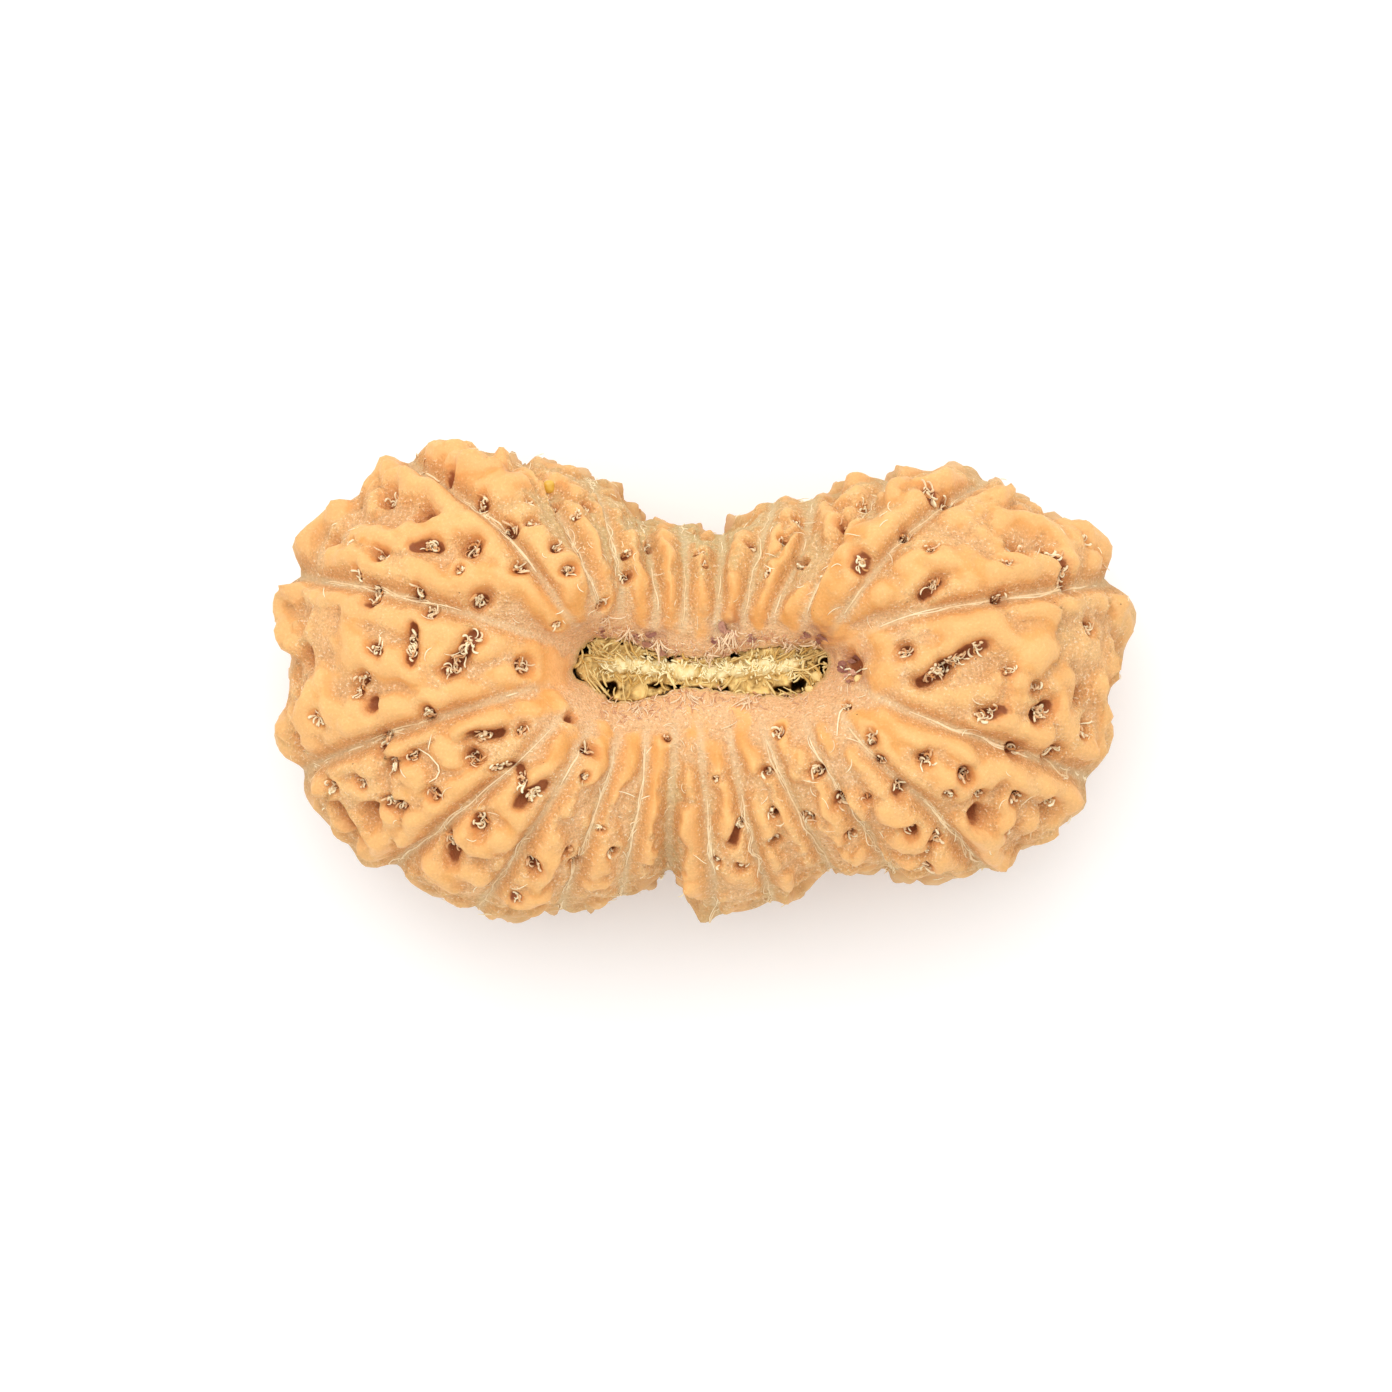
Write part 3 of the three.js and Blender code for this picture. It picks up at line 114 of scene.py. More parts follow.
# The outline from above, clockwise from the left: x, y of each knob and notch.
OUTLINE = (
    (-20.25, 0), (-20.2, 1), (-20.05, 1.5), (-20.5, 2.3), (-20.8, 3.2), (-21, 4), (-20.8, 4.6),
    (-20.3, 4.9), (-19.2, 5.25), (-19.6, 5.6), (-20.05, 6.1), (-20.2, 6.5), (-20, 7.1), (-19.5, 7.6),
    (-18.8, 8), (-17.9, 8.7), (-17.2, 9), (-16.6, 9.3), (-16, 10.5), (-15.7, 11), (-15.2, 11.1),
    (-14.7, 10.8), (-14.3, 10.55), (-14, 11.3), (-13.7, 11.6), (-13, 11.75), (-12.2, 11.65),
    (-11.6, 11.4), (-11.3, 11.05), (-10.6, 10.7), (-10.3, 10.65), (-10, 11.5), (-9.6, 10.7),
    (-8.9, 10.5), (-8.6, 10.95), (-8.2, 11.1), (-7.7, 10.7), (-7.1, 10.7), (-6.1, 10.3), (-5.6, 9.85),
    (-4.9, 10.1), (-4.4, 9.5), (-4, 8.9), (-3.3, 7.95), (-2.7, 8.15), (-1.7, 7.85), (-1.3, 7.75),
    (-0.65, 7.9), (0, 7.5), (0.5, 7.35), (0.9, 7.35), (1.5, 8.3), (1.9, 8.3), (2.9, 8.95), (3.2, 8.8),
    (3.9, 9.2), (4.5, 9), (5, 8.95), (5.5, 9.4), (5.9, 9.2), (6.5, 9.45), (6.9, 10.1), (7.3, 10.2),
    (7.8, 10.15), (8.4, 10.05), (8.9, 9.8), (9.6, 10.65), (9.9, 10.45), (11, 10.4), (12.4, 10.7),
    (12.9, 10.75), (13.3, 10.1), (13.4, 9.7), (14.4, 9.95), (14.7, 9.3), (15.2, 9.25), (15.9, 8.85),
    (16.3, 8.3), (16.9, 8.05), (17.5, 8.1), (18.7, 7.7), (19.3, 7.4), (19.75, 6.5), (19.3, 5.6),
    (19.1, 4.9), (20, 4.7), (20.4, 4.5), (20.9, 3.4), (21.05, 3), (20.6, 2.5), (20.1, 1.4),
    (20.25, 0.6), (19.5, -0.1), (19.4, -0.9), (19.65, -1.9), (19.55, -2.5), (19.6, -3), (19.05, -3.95),
    (18.4, -4.4), (18.2, -4.65), (18.5, -5.4), (18.5, -5.9), (17.8, -6.3), (17, -6.95), (15.6, -7.6),
    (15.2, -7.75), (14.95, -8.6), (14.2, -9.1), (13.5, -8.75), (12.5, -9.2), (11, -9.25), (10.3, -9.35),
    (9.4, -9), (8.8, -8.9), (7.6, -8.95), (7, -9.3), (6, -8.85), (5.4, -9.4), (4.9, -10), (4, -10.6),
    (3.2, -10.4), (2.5, -10.8), (1, -11), (0.3, -11.2), (-0.15, -11.8), (-0.6, -11), (-1, -10.4),
    (-1.5, -9.2), (-1.8, -8.95), (-2.4, -9.4), (-3.5, -10.2), (-4.2, -10.15), (-5.1, -10.7),
    (-6.5, -11.1), (-7.3, -10.7), (-8.6, -11.15), (-9.3, -11.3), (-10.6, -11.25), (-11.2, -10.7),
    (-12.3, -10.4), (-13.4, -10.15), (-14.3, -9.55), (-15, -8.6), (-16.3, -8.85), (-16.8, -8.8),
    (-17.25, -7.9), (-17.7, -7.4), (-18.6, -6.5), (-19.4, -5.5), (-19.7, -5), (-19.4, -4.2),
    (-19.8, -3.7), (-20.4, -3.5), (-20.8, -3.1), (-21.1, -2.4), (-20.7, -1.7), (-20.4, -1),
)

# Ridges and knobs of the upper side: half width, height, then the points of the crest.
RIDGES = (
    # left end
    (0.8, 0.9, -7.0, 0.4, -9.2, 0.3, -11.0, -0.2, -13.0, -0.6, -15.0, -1.3, -16.6, -2.0),
    (0.6, 0.9, -10.4, 1.9, -9.2, 2.0, -8.0, 1.5, -6.9, 0.9),
    (0.8, 0.9, -10.9, 2.4, -12.0, 2.8, -13.6, 3.2, -15.2, 3.6, -16.6, 3.4, -17.2, 2.4, -17.0, 1.4),
    (1.0, 0.8, -16.8, 1.4, -15.4, 0.9, -13.8, 0.4, -12.8, 1.6, -13.0, 2.4),
    (0.6, 1.2, -19.6, 4.8, -20.4, 4.2, -20.3, 3.2, -19.9, 2.4),
    (0.6, 0.9, -19.3, 4.2, -18.3, 4.5, -17.2, 4.1, -16.5, 3.4),
    (1.2, 0.55, -18.7, 3.2, -18.3, 1.8, -17.8, 0.7),
    (0.5, 0.8, -18.4, 1.0, -18.8, -0.1, -19.3, -1.0),
    (0.5, 1.2, -20.4, -1.9, -20.9, -2.5, -20.3, -3.0),
    (0.5, 0.6, -20.2, 1.0, -20.1, 0.0, -20.3, -1.0),
    (0.9, 0.9, -19.0, -2.5, -17.9, -2.7, -17.3, -1.6, -18.4, -0.7, -19.3, -1.4),
    # upper left
    (0.7, 0.95, -6.9, 2.9, -7.8, 3.9, -8.7, 4.6, -10.0, 5.0, -11.6, 5.0, -12.8, 4.9),
    (0.55, 0.85, -12.8, 5.0, -14.0, 5.4, -15.2, 5.6, -16.2, 5.9, -17.3, 6.0, -18.4, 6.0),
    (0.7, 0.9, -17.5, 6.4, -16.6, 7.0, -15.6, 7.1, -14.2, 7.1, -13.2, 7.4, -12.3, 7.8),
    (0.7, 0.9, -12.2, 8.0, -10.8, 7.7, -9.9, 6.8, -9.1, 6.1, -8.6, 5.4),
    (0.7, 1.0, -19.6, 6.5, -19.3, 7.2, -18.6, 7.8, -17.7, 8.3),
    (0.75, 1.1, -15.4, 10.8, -14.8, 10.2, -13.8, 9.8, -12.9, 9.5, -12.2, 8.8),
    (0.5, 0.7, -15.9, 10.2, -16.2, 9.3, -15.9, 8.9),
    # top left
    (0.6, 1.2, -13.4, 11.1, -12.3, 11.1, -11.4, 10.6, -10.7, 10.3),
    (0.55, 0.9, -12.2, 10.6, -11.9, 10.0, -11.5, 9.4, -11.0, 9.0),
    (0.32, 1.5, -10.0, 10.6, -9.9, 10.2),
    (0.7, 0.85, -10.0, 9.8, -9.6, 9.4, -9.2, 10.1),
    (0.8, 0.65, -9.6, 8.8, -8.7, 8.6),
    (0.55, 0.7, -10.5, 8.2, -9.9, 7.9),
    (0.55, 0.9, -8.8, 7.2, -7.8, 6.6, -6.9, 6.1, -6.4, 5.8, -6.5, 4.9, -6.3, 4.1, -6.1, 3.3),
    (0.5, 1.1, -8.4, 10.3, -7.9, 10.1),
    (0.5, 0.9, -7.3, 10.2, -6.6, 10.0, -6.1, 9.7),
    (0.42, 0.95, -7.65, 9.5, -7.55, 9.4),
    (0.55, 0.75, -6.9, 9.0, -6.4, 8.5),
    (0.6, 0.9, -6.2, 8.0, -5.5, 7.2, -5.2, 6.3, -5.0, 5.4, -4.8, 4.6, -4.7, 3.8),
    (0.45, 1.0, -5.0, 9.4, -4.6, 9.0, -4.5, 8.4),
    (0.35, 0.7, -4.0, 8.7, -3.9, 8.2),
    (0.35, 0.8, -4.3, 7.7, -4.15, 6.9, -4.0, 6.3),
    (0.4, 0.9, -3.6, 7.4, -3.3, 6.3, -3.15, 5.5, -3.0, 4.7, -3.05, 3.9, -3.2, 3.0),
    (0.35, 0.5, -3.85, 5.0, -3.8, 4.0, -3.8, 3.2),
    # top waist
    (0.45, 0.7, -2.7, 7.6, -2.2, 7.5, -1.7, 7.3),
    (0.42, 0.9, -1.95, 6.9, -1.75, 6.0, -1.8, 5.0, -1.75, 4.1, -1.55, 3.2, -1.35, 2.6),
    (0.3, 0.5, -2.35, 6.8, -2.2, 6.2),
    (0.35, 0.6, -0.7, 7.4, -0.6, 6.8),
    (0.35, 0.4, 0.0, 7.1, 0.2, 6.8),
    (0.35, 0.6, -0.45, 6.4, -0.4, 5.6),
    (0.45, 0.85, -0.45, 4.8, -0.25, 4.2, -0.2, 3.6, -0.35, 2.9, -0.5, 2.3),
    (0.4, 0.7, 1.5, 7.6, 1.5, 7.0),
    (0.35, 0.7, 2.6, 8.3, 2.3, 7.7),
    (0.5, 0.65, 1.2, 6.6, 1.3, 5.9, 1.8, 6.3),
    (0.38, 0.95, 1.15, 5.0, 1.15, 4.2, 1.2, 3.3),
    # top right
    (0.35, 0.85, 3.4, 7.9, 3.3, 7.2, 3.1, 6.6),
    (0.4, 0.8, 3.9, 8.6, 4.2, 8.0),
    (0.42, 0.9, 4.4, 7.3, 4.0, 6.6, 3.5, 5.9, 3.0, 5.2, 2.7, 4.4, 2.5, 3.5, 2.4, 2.8),
    (0.4, 0.8, 5.5, 8.8, 5.7, 8.3),
    (0.55, 1.0, 6.8, 9.4, 7.5, 9.5),
    (0.4, 0.8, 5.85, 8.3, 5.8, 7.5),
    (0.5, 0.9, 6.8, 8.6, 6.7, 7.7, 6.4, 6.8, 5.9, 5.8, 5.2, 5.0, 4.5, 4.5, 4.2, 3.7, 3.9, 2.9),
    (0.35, 0.7, 8.3, 9.4, 8.2, 9.1),
    (0.38, 1.2, 9.6, 9.9, 9.2, 9.5, 8.8, 9.0),
    (0.55, 1.1, 10.3, 9.8, 11.3, 9.8, 12.2, 10.0, 12.8, 10.1),
    (0.65, 0.9, 11.7, 9.9, 10.6, 9.0, 9.5, 8.4, 8.6, 8.0, 7.9, 7.6, 7.3, 6.9, 6.6, 6.1, 6.1, 5.2, 5.8, 4.3, 5.3, 3.3),
    (0.6, 0.85, 9.7, 8.0, 8.9, 7.2, 8.4, 6.4, 7.8, 5.8, 7.2, 5.2, 6.6, 4.4),
    (0.45, 1.1, 14.2, 9.2, 13.7, 9.1),
    (0.4, 0.7, 15.2, 8.6, 15.6, 8.3),
    (0.8, 0.8, 11.8, 8.2, 12.6, 8.6, 13.6, 8.7),
    (0.7, 0.95, 14.2, 8.0, 15.2, 8.1, 16.2, 7.8, 16.8, 7.2, 17.3, 6.6),
    (0.8, 1.05, 17.4, 7.6, 18.4, 7.1, 19.0, 6.5, 18.9, 5.9),
    (0.8, 0.6, 12.5, 7.5, 13.6, 7.3),
    (0.5, 0.6, 13.9, 6.4, 15.2, 6.1, 15.7, 6.2),
    (0.65, 0.95, 9.2, 5.4, 10.6, 6.0, 12.2, 6.0, 13.4, 5.7, 14.6, 5.4, 15.6, 5.5, 16.5, 5.8, 17.3, 6.3),
    (0.6, 0.7, 11.2, 4.5, 12.3, 4.8, 13.4, 5.0),
    (0.7, 0.9, 8.8, 4.8, 7.8, 4.2, 6.9, 3.6, 6.3, 2.9, 5.9, 2.3),
    (0.5, 0.55, 9.8, 6.9, 10.9, 7.0, 11.8, 6.8),
    # right end
    (0.7, 0.95, 10.3, 2.7, 11.6, 3.1, 13.0, 3.3, 14.4, 3.6, 15.4, 3.8),
    (0.7, 0.9, 15.5, 3.8, 16.2, 3.2, 16.3, 2.2, 15.8, 1.2, 15.0, 0.3),
    (1.0, 0.85, 12.2, 2.6, 13.8, 2.6, 15.0, 2.2, 15.2, 1.4),
    (0.55, 0.85, 8.8, 0.7, 9.8, 1.2, 10.8, 1.6, 11.8, 2.1),
    (0.8, 0.85, 7.0, 2.2, 8.2, 2.2, 8.2, 1.2, 8.0, 0.2),
    (0.6, 0.65, 9.0, -0.4, 10.4, -0.7, 11.6, -0.5, 12.8, -0.2, 13.8, 0.1),
    (0.6, 0.75, 14.8, -0.5, 14.6, -1.0),
    (0.5, 0.85, 13.0, -1.9, 14.4, -2.1, 15.8, -2.3, 16.2, -2.4),
    (0.5, 0.9, 17.2, 4.3, 18.4, 4.3, 19.3, 4.2),
    (0.65, 1.1, 19.9, 4.0, 20.4, 3.2),
    (0.9, 0.6, 17.7, 2.0, 18.7, 1.6, 19.4, 1.0),
    (0.4, 0.8, 19.7, 0.9, 19.8, 0.3),
    (0.7, 0.65, 17.0, 0.8, 17.1, -0.2, 17.2, -1.0),
    (0.5, 0.85, 19.0, 0.0, 19.0, -0.9, 19.1, -1.8, 19.0, -2.8),
    (0.7, 0.95, 17.2, -2.2, 18.0, -2.8, 18.6, -3.2),
    # lower right
    (0.8, 0.95, 7.0, -1.7, 8.2, -1.6, 9.4, -2.0, 10.6, -2.1, 11.5, -2.5, 12.2, -3.2),
    (0.75, 0.85, 8.8, -2.9, 9.4, -3.8, 10.4, -4.5, 11.4, -4.6),
    (0.65, 0.95, 13.0, -4.4, 14.2, -4.2, 15.6, -4.4, 16.8, -4.8, 17.6, -5.4),
    (0.4, 0.5, 13.6, -3.2, 14.0, -3.6),
    (0.6, 1.0, 12.3, -6.6, 13.0, -7.5, 13.7, -8.3, 14.1, -8.6),
    (0.6, 0.95, 14.4, -6.0, 14.0, -6.8, 13.8, -7.6),
    (0.5, 0.65, 15.5, -6.3, 15.6, -7.0),
    (0.5, 0.6, 12.0, -5.3, 12.6, -5.0),
    (0.5, 0.7, 17.2, -6.1, 16.4, -6.8),
    (0.45, 0.85, 6.9, -3.0, 7.5, -3.7, 8.2, -4.4, 8.8, -5.2),
    (0.6, 0.85, 8.5, -6.2, 9.6, -6.1, 10.6, -6.7, 10.4, -7.5, 9.3, -7.8),
    (0.5, 0.9, 9.6, -8.5, 10.4, -8.8, 11.4, -8.5, 12.3, -8.7),
    (0.55, 0.6, 11.3, -7.7, 11.9, -8.2),
    (0.4, 0.65, 5.1, -1.6, 5.5, -2.3, 5.8, -2.9),
    (0.4, 0.85, 3.6, -2.2, 3.9, -2.9, 4.1, -3.6, 4.2, -4.2),
    (0.5, 0.85, 5.3, -4.4, 5.5, -5.4, 5.7, -6.4, 6.3, -6.9, 6.9, -6.7, 7.0, -6.1),
    (0.4, 0.8, 5.5, -7.0, 6.2, -7.4),
    (0.45, 0.9, 6.6, -8.3, 7.1, -8.7, 7.6, -8.4, 8.3, -8.5),
    # bottom waist
    (0.45, 0.85, 1.45, -1.3, 1.65, -2.2, 1.9, -3.0, 2.1, -3.8),
    (0.45, 0.7, 3.0, -4.9, 3.2, -5.5),
    (0.5, 0.85, 2.4, -5.8, 2.5, -6.6, 2.9, -7.2),
    (0.45, 0.85, 3.8, -5.9, 4.0, -6.8, 4.3, -7.5, 4.7, -8.2),
    (0.4, 0.8, 3.4, -8.6, 3.3, -9.2),
    (0.4, 0.9, 4.0, -9.5, 4.1, -9.9),
    (0.4, 0.6, 4.9, -8.9, 5.1, -9.1),
    (0.4, 0.8, 0.8, -4.9, 0.95, -5.7, 1.05, -6.4, 0.85, -7.2),
    (0.4, 0.6, 1.7, -7.4, 1.85, -8.3),
    (0.5, 0.6, 0.8, -9.3, 1.4, -9.7, 2.2, -9.6, 2.3, -10.0),
    (0.6, 0.8, -0.6, -1.4, -0.2, -2.3, 0.3, -3.0, 0.35, -3.9),
    (0.35, 0.7, -0.8, -2.4, -0.85, -3.4),
    (0.4, 0.75, -0.95, -4.2, -0.85, -4.9, -0.6, -5.4),
    (0.5, 0.95, -0.7, -6.1, -0.75, -7.0, -0.65, -8.0, -0.7, -8.8, -0.7, -9.4),
    (0.5, 1.7, -0.45, -9.9, -0.25, -10.6),
    (0.4, 0.7, -1.1, -9.2, -1.0, -9.7),
    (0.5, 0.95, -2.1, -2.8, -2.3, -3.9, -2.6, -4.8, -2.75, -5.8, -2.85, -6.8, -2.95, -7.8, -3.1, -8.8),
    (0.45, 0.75, -3.6, -9.5, -3.1, -9.4),
    # lower left
    (0.45, 0.95, -3.3, -2.3, -3.6, -3.2, -3.9, -4.2, -4.3, -5.2, -4.65, -6.1),
    (0.55, 0.95, -5.1, -6.9, -5.0, -7.5, -5.1, -8.3, -5.25, -9.2),
    (0.35, 0.5, -4.3, -7.2, -4.45, -8.0),
    (0.5, 0.85, -6.3, -9.9, -5.6, -9.9, -5.0, -9.8),
    (0.55, 0.85, -4.9, -2.3, -5.0, -3.4, -5.4, -4.2, -6.1, -4.6, -6.5, -5.2, -6.5, -5.9),
    (0.55, 0.85, -7.6, -6.6, -7.8, -7.3, -7.2, -8.2, -7.6, -9.0, -8.4, -9.5, -9.2, -9.4, -9.6, -8.9),
    (0.5, 0.85, -10.2, -10.4, -9.3, -10.4, -8.4, -10.3, -7.8, -10.1),
    (0.5, 0.95, -6.6, -2.2, -6.9, -3.0, -7.6, -3.9, -8.2, -4.6),
    (0.6, 0.85, -9.6, -4.6, -9.8, -5.3, -9.3, -6.0, -8.6, -6.4),
    (0.55, 0.95, -11.4, -6.1, -11.8, -6.9, -11.3, -7.6, -10.4, -7.7, -9.6, -7.3, -9.0, -6.7),
    (0.75, 0.85, -13.4, -7.6, -13.4, -8.3, -12.8, -8.9, -12.0, -9.3, -11.2, -9.1),
    (0.5, 0.7, -13.2, -9.5, -12.2, -9.8),
    (0.4, 0.4, -10.0, -8.4, -9.9, -9.0),
    (0.6, 0.95, -7.2, -0.9, -8.4, -1.1, -9.6, -1.4, -10.8, -1.6, -11.6, -1.9),
    (0.45, 0.85, -13.2, -2.0, -13.8, -2.5, -14.6, -2.9, -15.4, -3.3),
    (0.7, 0.85, -12.4, -2.9, -12.1, -3.3),
    (0.5, 0.5, -8.6, -2.6, -9.8, -3.3),
    (0.6, 0.9, -10.4, -4.3, -11.4, -4.7, -12.3, -5.3, -13.2, -5.9, -14.0, -6.6, -14.6, -7.3),
    (0.6, 0.75, -14.2, -4.2, -13.9, -4.8, -14.4, -5.3),
    (0.5, 0.8, -16.2, -3.8, -17.3, -3.8, -18.3, -4.2),
    (0.5, 0.65, -15.8, -4.9, -16.7, -5.3, -17.5, -5.2),
    (0.5, 1.0, -19.0, -4.9, -18.6, -5.4),
    (0.3, 0.9, -17.8, -5.7, -17.0, -6.4, -16.3, -7.0),
    (0.6, 1.0, -15.3, -6.4, -15.4, -7.2, -15.9, -8.0, -16.2, -8.3),
    (0.4, 0.7, -17.2, -7.2, -17.8, -6.6, -18.3, -6.0),
)

# Pits of the upper side: radius, then one point, or two for a slot.
PITS = (
    (0.45, -15.3, 9.4), (0.5, -13.7, 8.2), (0.35, -18.3, 6.9), (0.22, -17.0, 6.9), (0.38, -15.6, 6.1),
    (0.28, -13.9, 6.5, -12.9, 6.5), (0.42, -11.1, 6.8), (0.25, -11.9, 5.4), (0.35, -16.1, 4.9),
    (0.25, -17.0, 5.3), (0.38, -13.9, 4.7), (0.3, -16.2, 4.1), (0.33, -13.2, 3.5), (0.45, -10.8, 4.1),
    (0.3, -14.0, 2.7, -14.2, 1.2), (0.35, -15.8, 1.8), (0.42, -12.2, 0.7, -10.8, 2.3),
    (0.48, -8.8, 0.8), (0.3, -16.5, 0.4), (0.3, -16.9, -0.1), (0.4, -16.1, -0.7), (0.45, -19.4, 1.5),
    (0.3, -19.3, -0.3), (0.35, -18.6, -1.6), (0.3, -20.1, -2.4), (0.35, -13.5, -1.2),
    (0.33, -15.6, -2.3, -15.8, -3.1), (0.45, -15.0, -3.9), (0.3, -14.2, -3.6), (0.3, -16.7, -4.5),
    (0.38, -18.2, -4.9), (0.35, -13.1, -5.1), (0.35, -14.5, -6.0), (0.3, -15.3, -5.6),
    (0.5, -16.0, -6.1), (0.5, -17.7, -6.3, -16.7, -7.2), (0.4, -12.2, -7.6, -12.2, -8.4),
    (0.4, -10.7, -6.6), (0.42, -11.1, -3.6), (0.28, -11.3, -2.6, -10.0, -2.3), (0.28, -8.6, -2.0),
    (0.2, -10.1, -4.0, -9.4, -3.7), (0.3, -8.9, -4.0, -8.7, -4.6), (0.3, -9.0, -5.5, -7.7, -5.0),
    (0.32, -6.3, -1.4), (0.35, -5.5, -3.1), (0.22, -5.6, -4.3), (0.28, -6.6, -8.2), (0.28, -6.2, -9.0),
    (0.35, -8.3, -8.8), (0.2, -4.8, -6.9), (0.25, -4.4, -8.2), (0.25, -9.2, -10.2), (0.35, -10.8, 9.2),
    (0.35, -9.3, 7.6), (0.3, -8.4, 7.9), (0.35, -9.0, 5.6), (0.3, -7.1, 6.8), (0.3, -6.4, 5.5),
    (0.25, -7.2, 3.0), (0.3, -12.4, 10.3), (0.25, -7.1, 9.1), (0.2, -6.2, 8.3), (0.2, -8.4, 9.1),
    (0.2, -3.6, 6.6), (0.28, -3.6, 5.4), (0.3, -4.9, 3.7), (0.25, -5.6, 9.0), (0.25, -2.5, 7.2),
    (0.22, -0.3, 6.7), (0.18, -0.1, 6.1), (0.25, 3.7, 7.2), (0.35, 4.3, 6.3), (0.2, 2.8, 5.5),
    (0.25, 4.3, 8.3), (0.38, 6.3, 7.9), (0.25, 7.0, 8.3), (0.25, 7.3, 9.1), (0.2, 5.2, 5.3),
    (0.2, 2.0, 7.1), (0.28, 7.0, 5.8, 7.5, 6.2), (0.28, 9.4, 7.5), (0.3, 10.7, 6.4), (0.38, 11.6, 9.2),
    (0.4, 10.5, 9.4), (0.42, 14.7, 6.7), (0.3, 16.2, 6.2, 16.8, 6.1), (0.2, 14.3, 5.8),
    (0.3, 18.1, 6.7), (0.35, 17.2, 5.4), (0.35, 17.8, 5.0), (0.35, 10.2, 4.3, 10.8, 4.9),
    (0.4, 14.1, 4.1), (0.42, 18.5, 3.1), (0.4, 9.4, 1.6), (0.38, 10.2, 0.2, 11.5, 0.9),
    (0.38, 11.5, 0.9, 13.1, 2.0), (0.3, 14.4, 0.9), (0.33, 15.8, 0.0), (0.38, 18.2, -0.4),
    (0.38, 15.9, -1.3, 16.5, -1.2), (0.33, 12.9, -1.4, 14.1, -1.1), (0.42, 18.3, -1.9),
    (0.38, 17.0, -3.2), (0.42, 15.0, -3.5), (0.38, 10.3, -3.5), (0.38, 12.3, -4.2), (0.38, 14.9, -5.2),
    (0.42, 16.6, -5.8), (0.42, 13.0, -6.5), (0.28, 13.1, -5.5), (0.28, 11.4, -5.2), (0.33, 9.3, -5.0),
    (0.32, 7.8, -2.4), (0.2, 6.7, -1.0), (0.25, 8.3, -3.4), (0.4, 9.6, -7.0), (0.35, 10.9, -7.6),
    (0.25, 10.2, -8.2), (0.35, 14.6, -6.9), (0.22, 7.5, -5.7), (0.32, 6.2, -6.0), (0.35, 4.9, -4.2),
    (0.33, 4.8, -6.9), (0.33, 3.3, -2.1), (0.3, 2.6, -4.2), (0.25, 3.1, -6.1), (0.3, 3.4, -7.8),
    (0.22, 1.5, -6.8, 1.2, -7.7), (0.25, 6.6, -7.6), (0.15, 0.5, -4.3), (0.2, 0.5, -9.0),
    (0.25, 1.8, -9.1), (0.2, -1.9, -2.4), (0.65, 6.9, 0.9), (0.4, 10.3, -8.9),
)

# The fine surface
COLUMNS = 560
TOP_ROWS, UNDER_ROWS, WALL_ROWS = 112, 44, 8
CREST_PART = 0.78  # share of a ridge's height in its crest; the rest is in its wide foot
STEEP = 4  # exponent of the crest's side: higher is flatter on top and steeper
RIDGE_REACH = 2.7  # how far a ridge's foot goes, in half widths
WARP = 0.2  # how far a ridge's edge wanders
KNOBS = 0.28  # how much a ridge's height varies along it
LUMPS = 0.09  # height of the small unevenness of the whole surface
RIM_LUMPS = 0.26  # height of the extra unevenness towards the rim
PIT_SIDE = 3  # exponent of a pit's side: higher is steeper
PIT_DEPTH, SLOT_DEPTH = 0.38, 0.25  # depth of a pit and of a slot, on top of its radius
CRUMBS = 0.035  # height of the finer roughness, mostly between the ridges
MOUTH_FADE = 0.05  # share of the way out over which the relief starts
RIM_SOFT, RIM_BLUR = (0.8, 0.9), 1  # where the relief is evened out towards the rim, and over how many points
LIP_OPEN = 0.004  # how far the mouth's edge is worn back, as a share of the way out
LIP_TEAR = 0.007  # how ragged the mouth's edge is, as a share of the way out
LIP_SOFT = 0.02  # share of the rows over which that fades
NEAR_MOUTH = 0.45  # how much lower the relief is round the mouth
MOUTH_REACH = (0.08, 0.4)  # shares of the way out over which it gets its full height
OVER_WAIST = 0.22  # how much lower it is over the waist


def smooth(low, high, x):
    t = np.clip((x - low) / (high - low), 0, 1)
    return t * t * (3 - 2 * t)


def draw(n):
    """The repeatable draw from 0 to 1 that the part's source makes for each whole number."""
    x = math.sin(n * 12.9898 + 4.1414) * 43758.5453
    return x - math.floor(x)


def spline(a, b, c, d, t):
    return b + 0.5 * t * (c - a + t * (2 * a - 5 * b + 4 * c - d + t * (3 * (b - c) + d - a)))


GROOVE_TABLE = np.array(GROOVES, dtype=float)


def across_grooves(k, u):
    i = np.floor(u).astype(int)
    a, b, c, d = (GROOVE_TABLE[(i + step) % FACES, k] for step in (-1, 0, 1, 2))
    return spline(a, b, c, d, u - i)


def plan(u, f):
    """The plan place at u round the bead and a share f of the way from mouth to rim."""
    i = np.minimum(2, np.floor(f * 3)).astype(int)
    along = []
    for axis in (0, 1):
        p = np.array([across_grooves(k + axis, u) for k in (0, 2, 4, 6)])
        p = np.vstack([2 * p[:1] - p[1:2], p, 2 * p[3:] - p[2:3]])
        column = np.arange(p.shape[1])
        along.append(spline(*(p[i + step, column] for step in (0, 1, 2, 3)), f * 3 - i))
    return along


def lobe_share(u):
    """How far u is from the waist: 0 there, 1 in the full lobes."""
    return smooth(LOBE_FROM, LOBE_FULL, np.abs(across_grooves(6, u)))


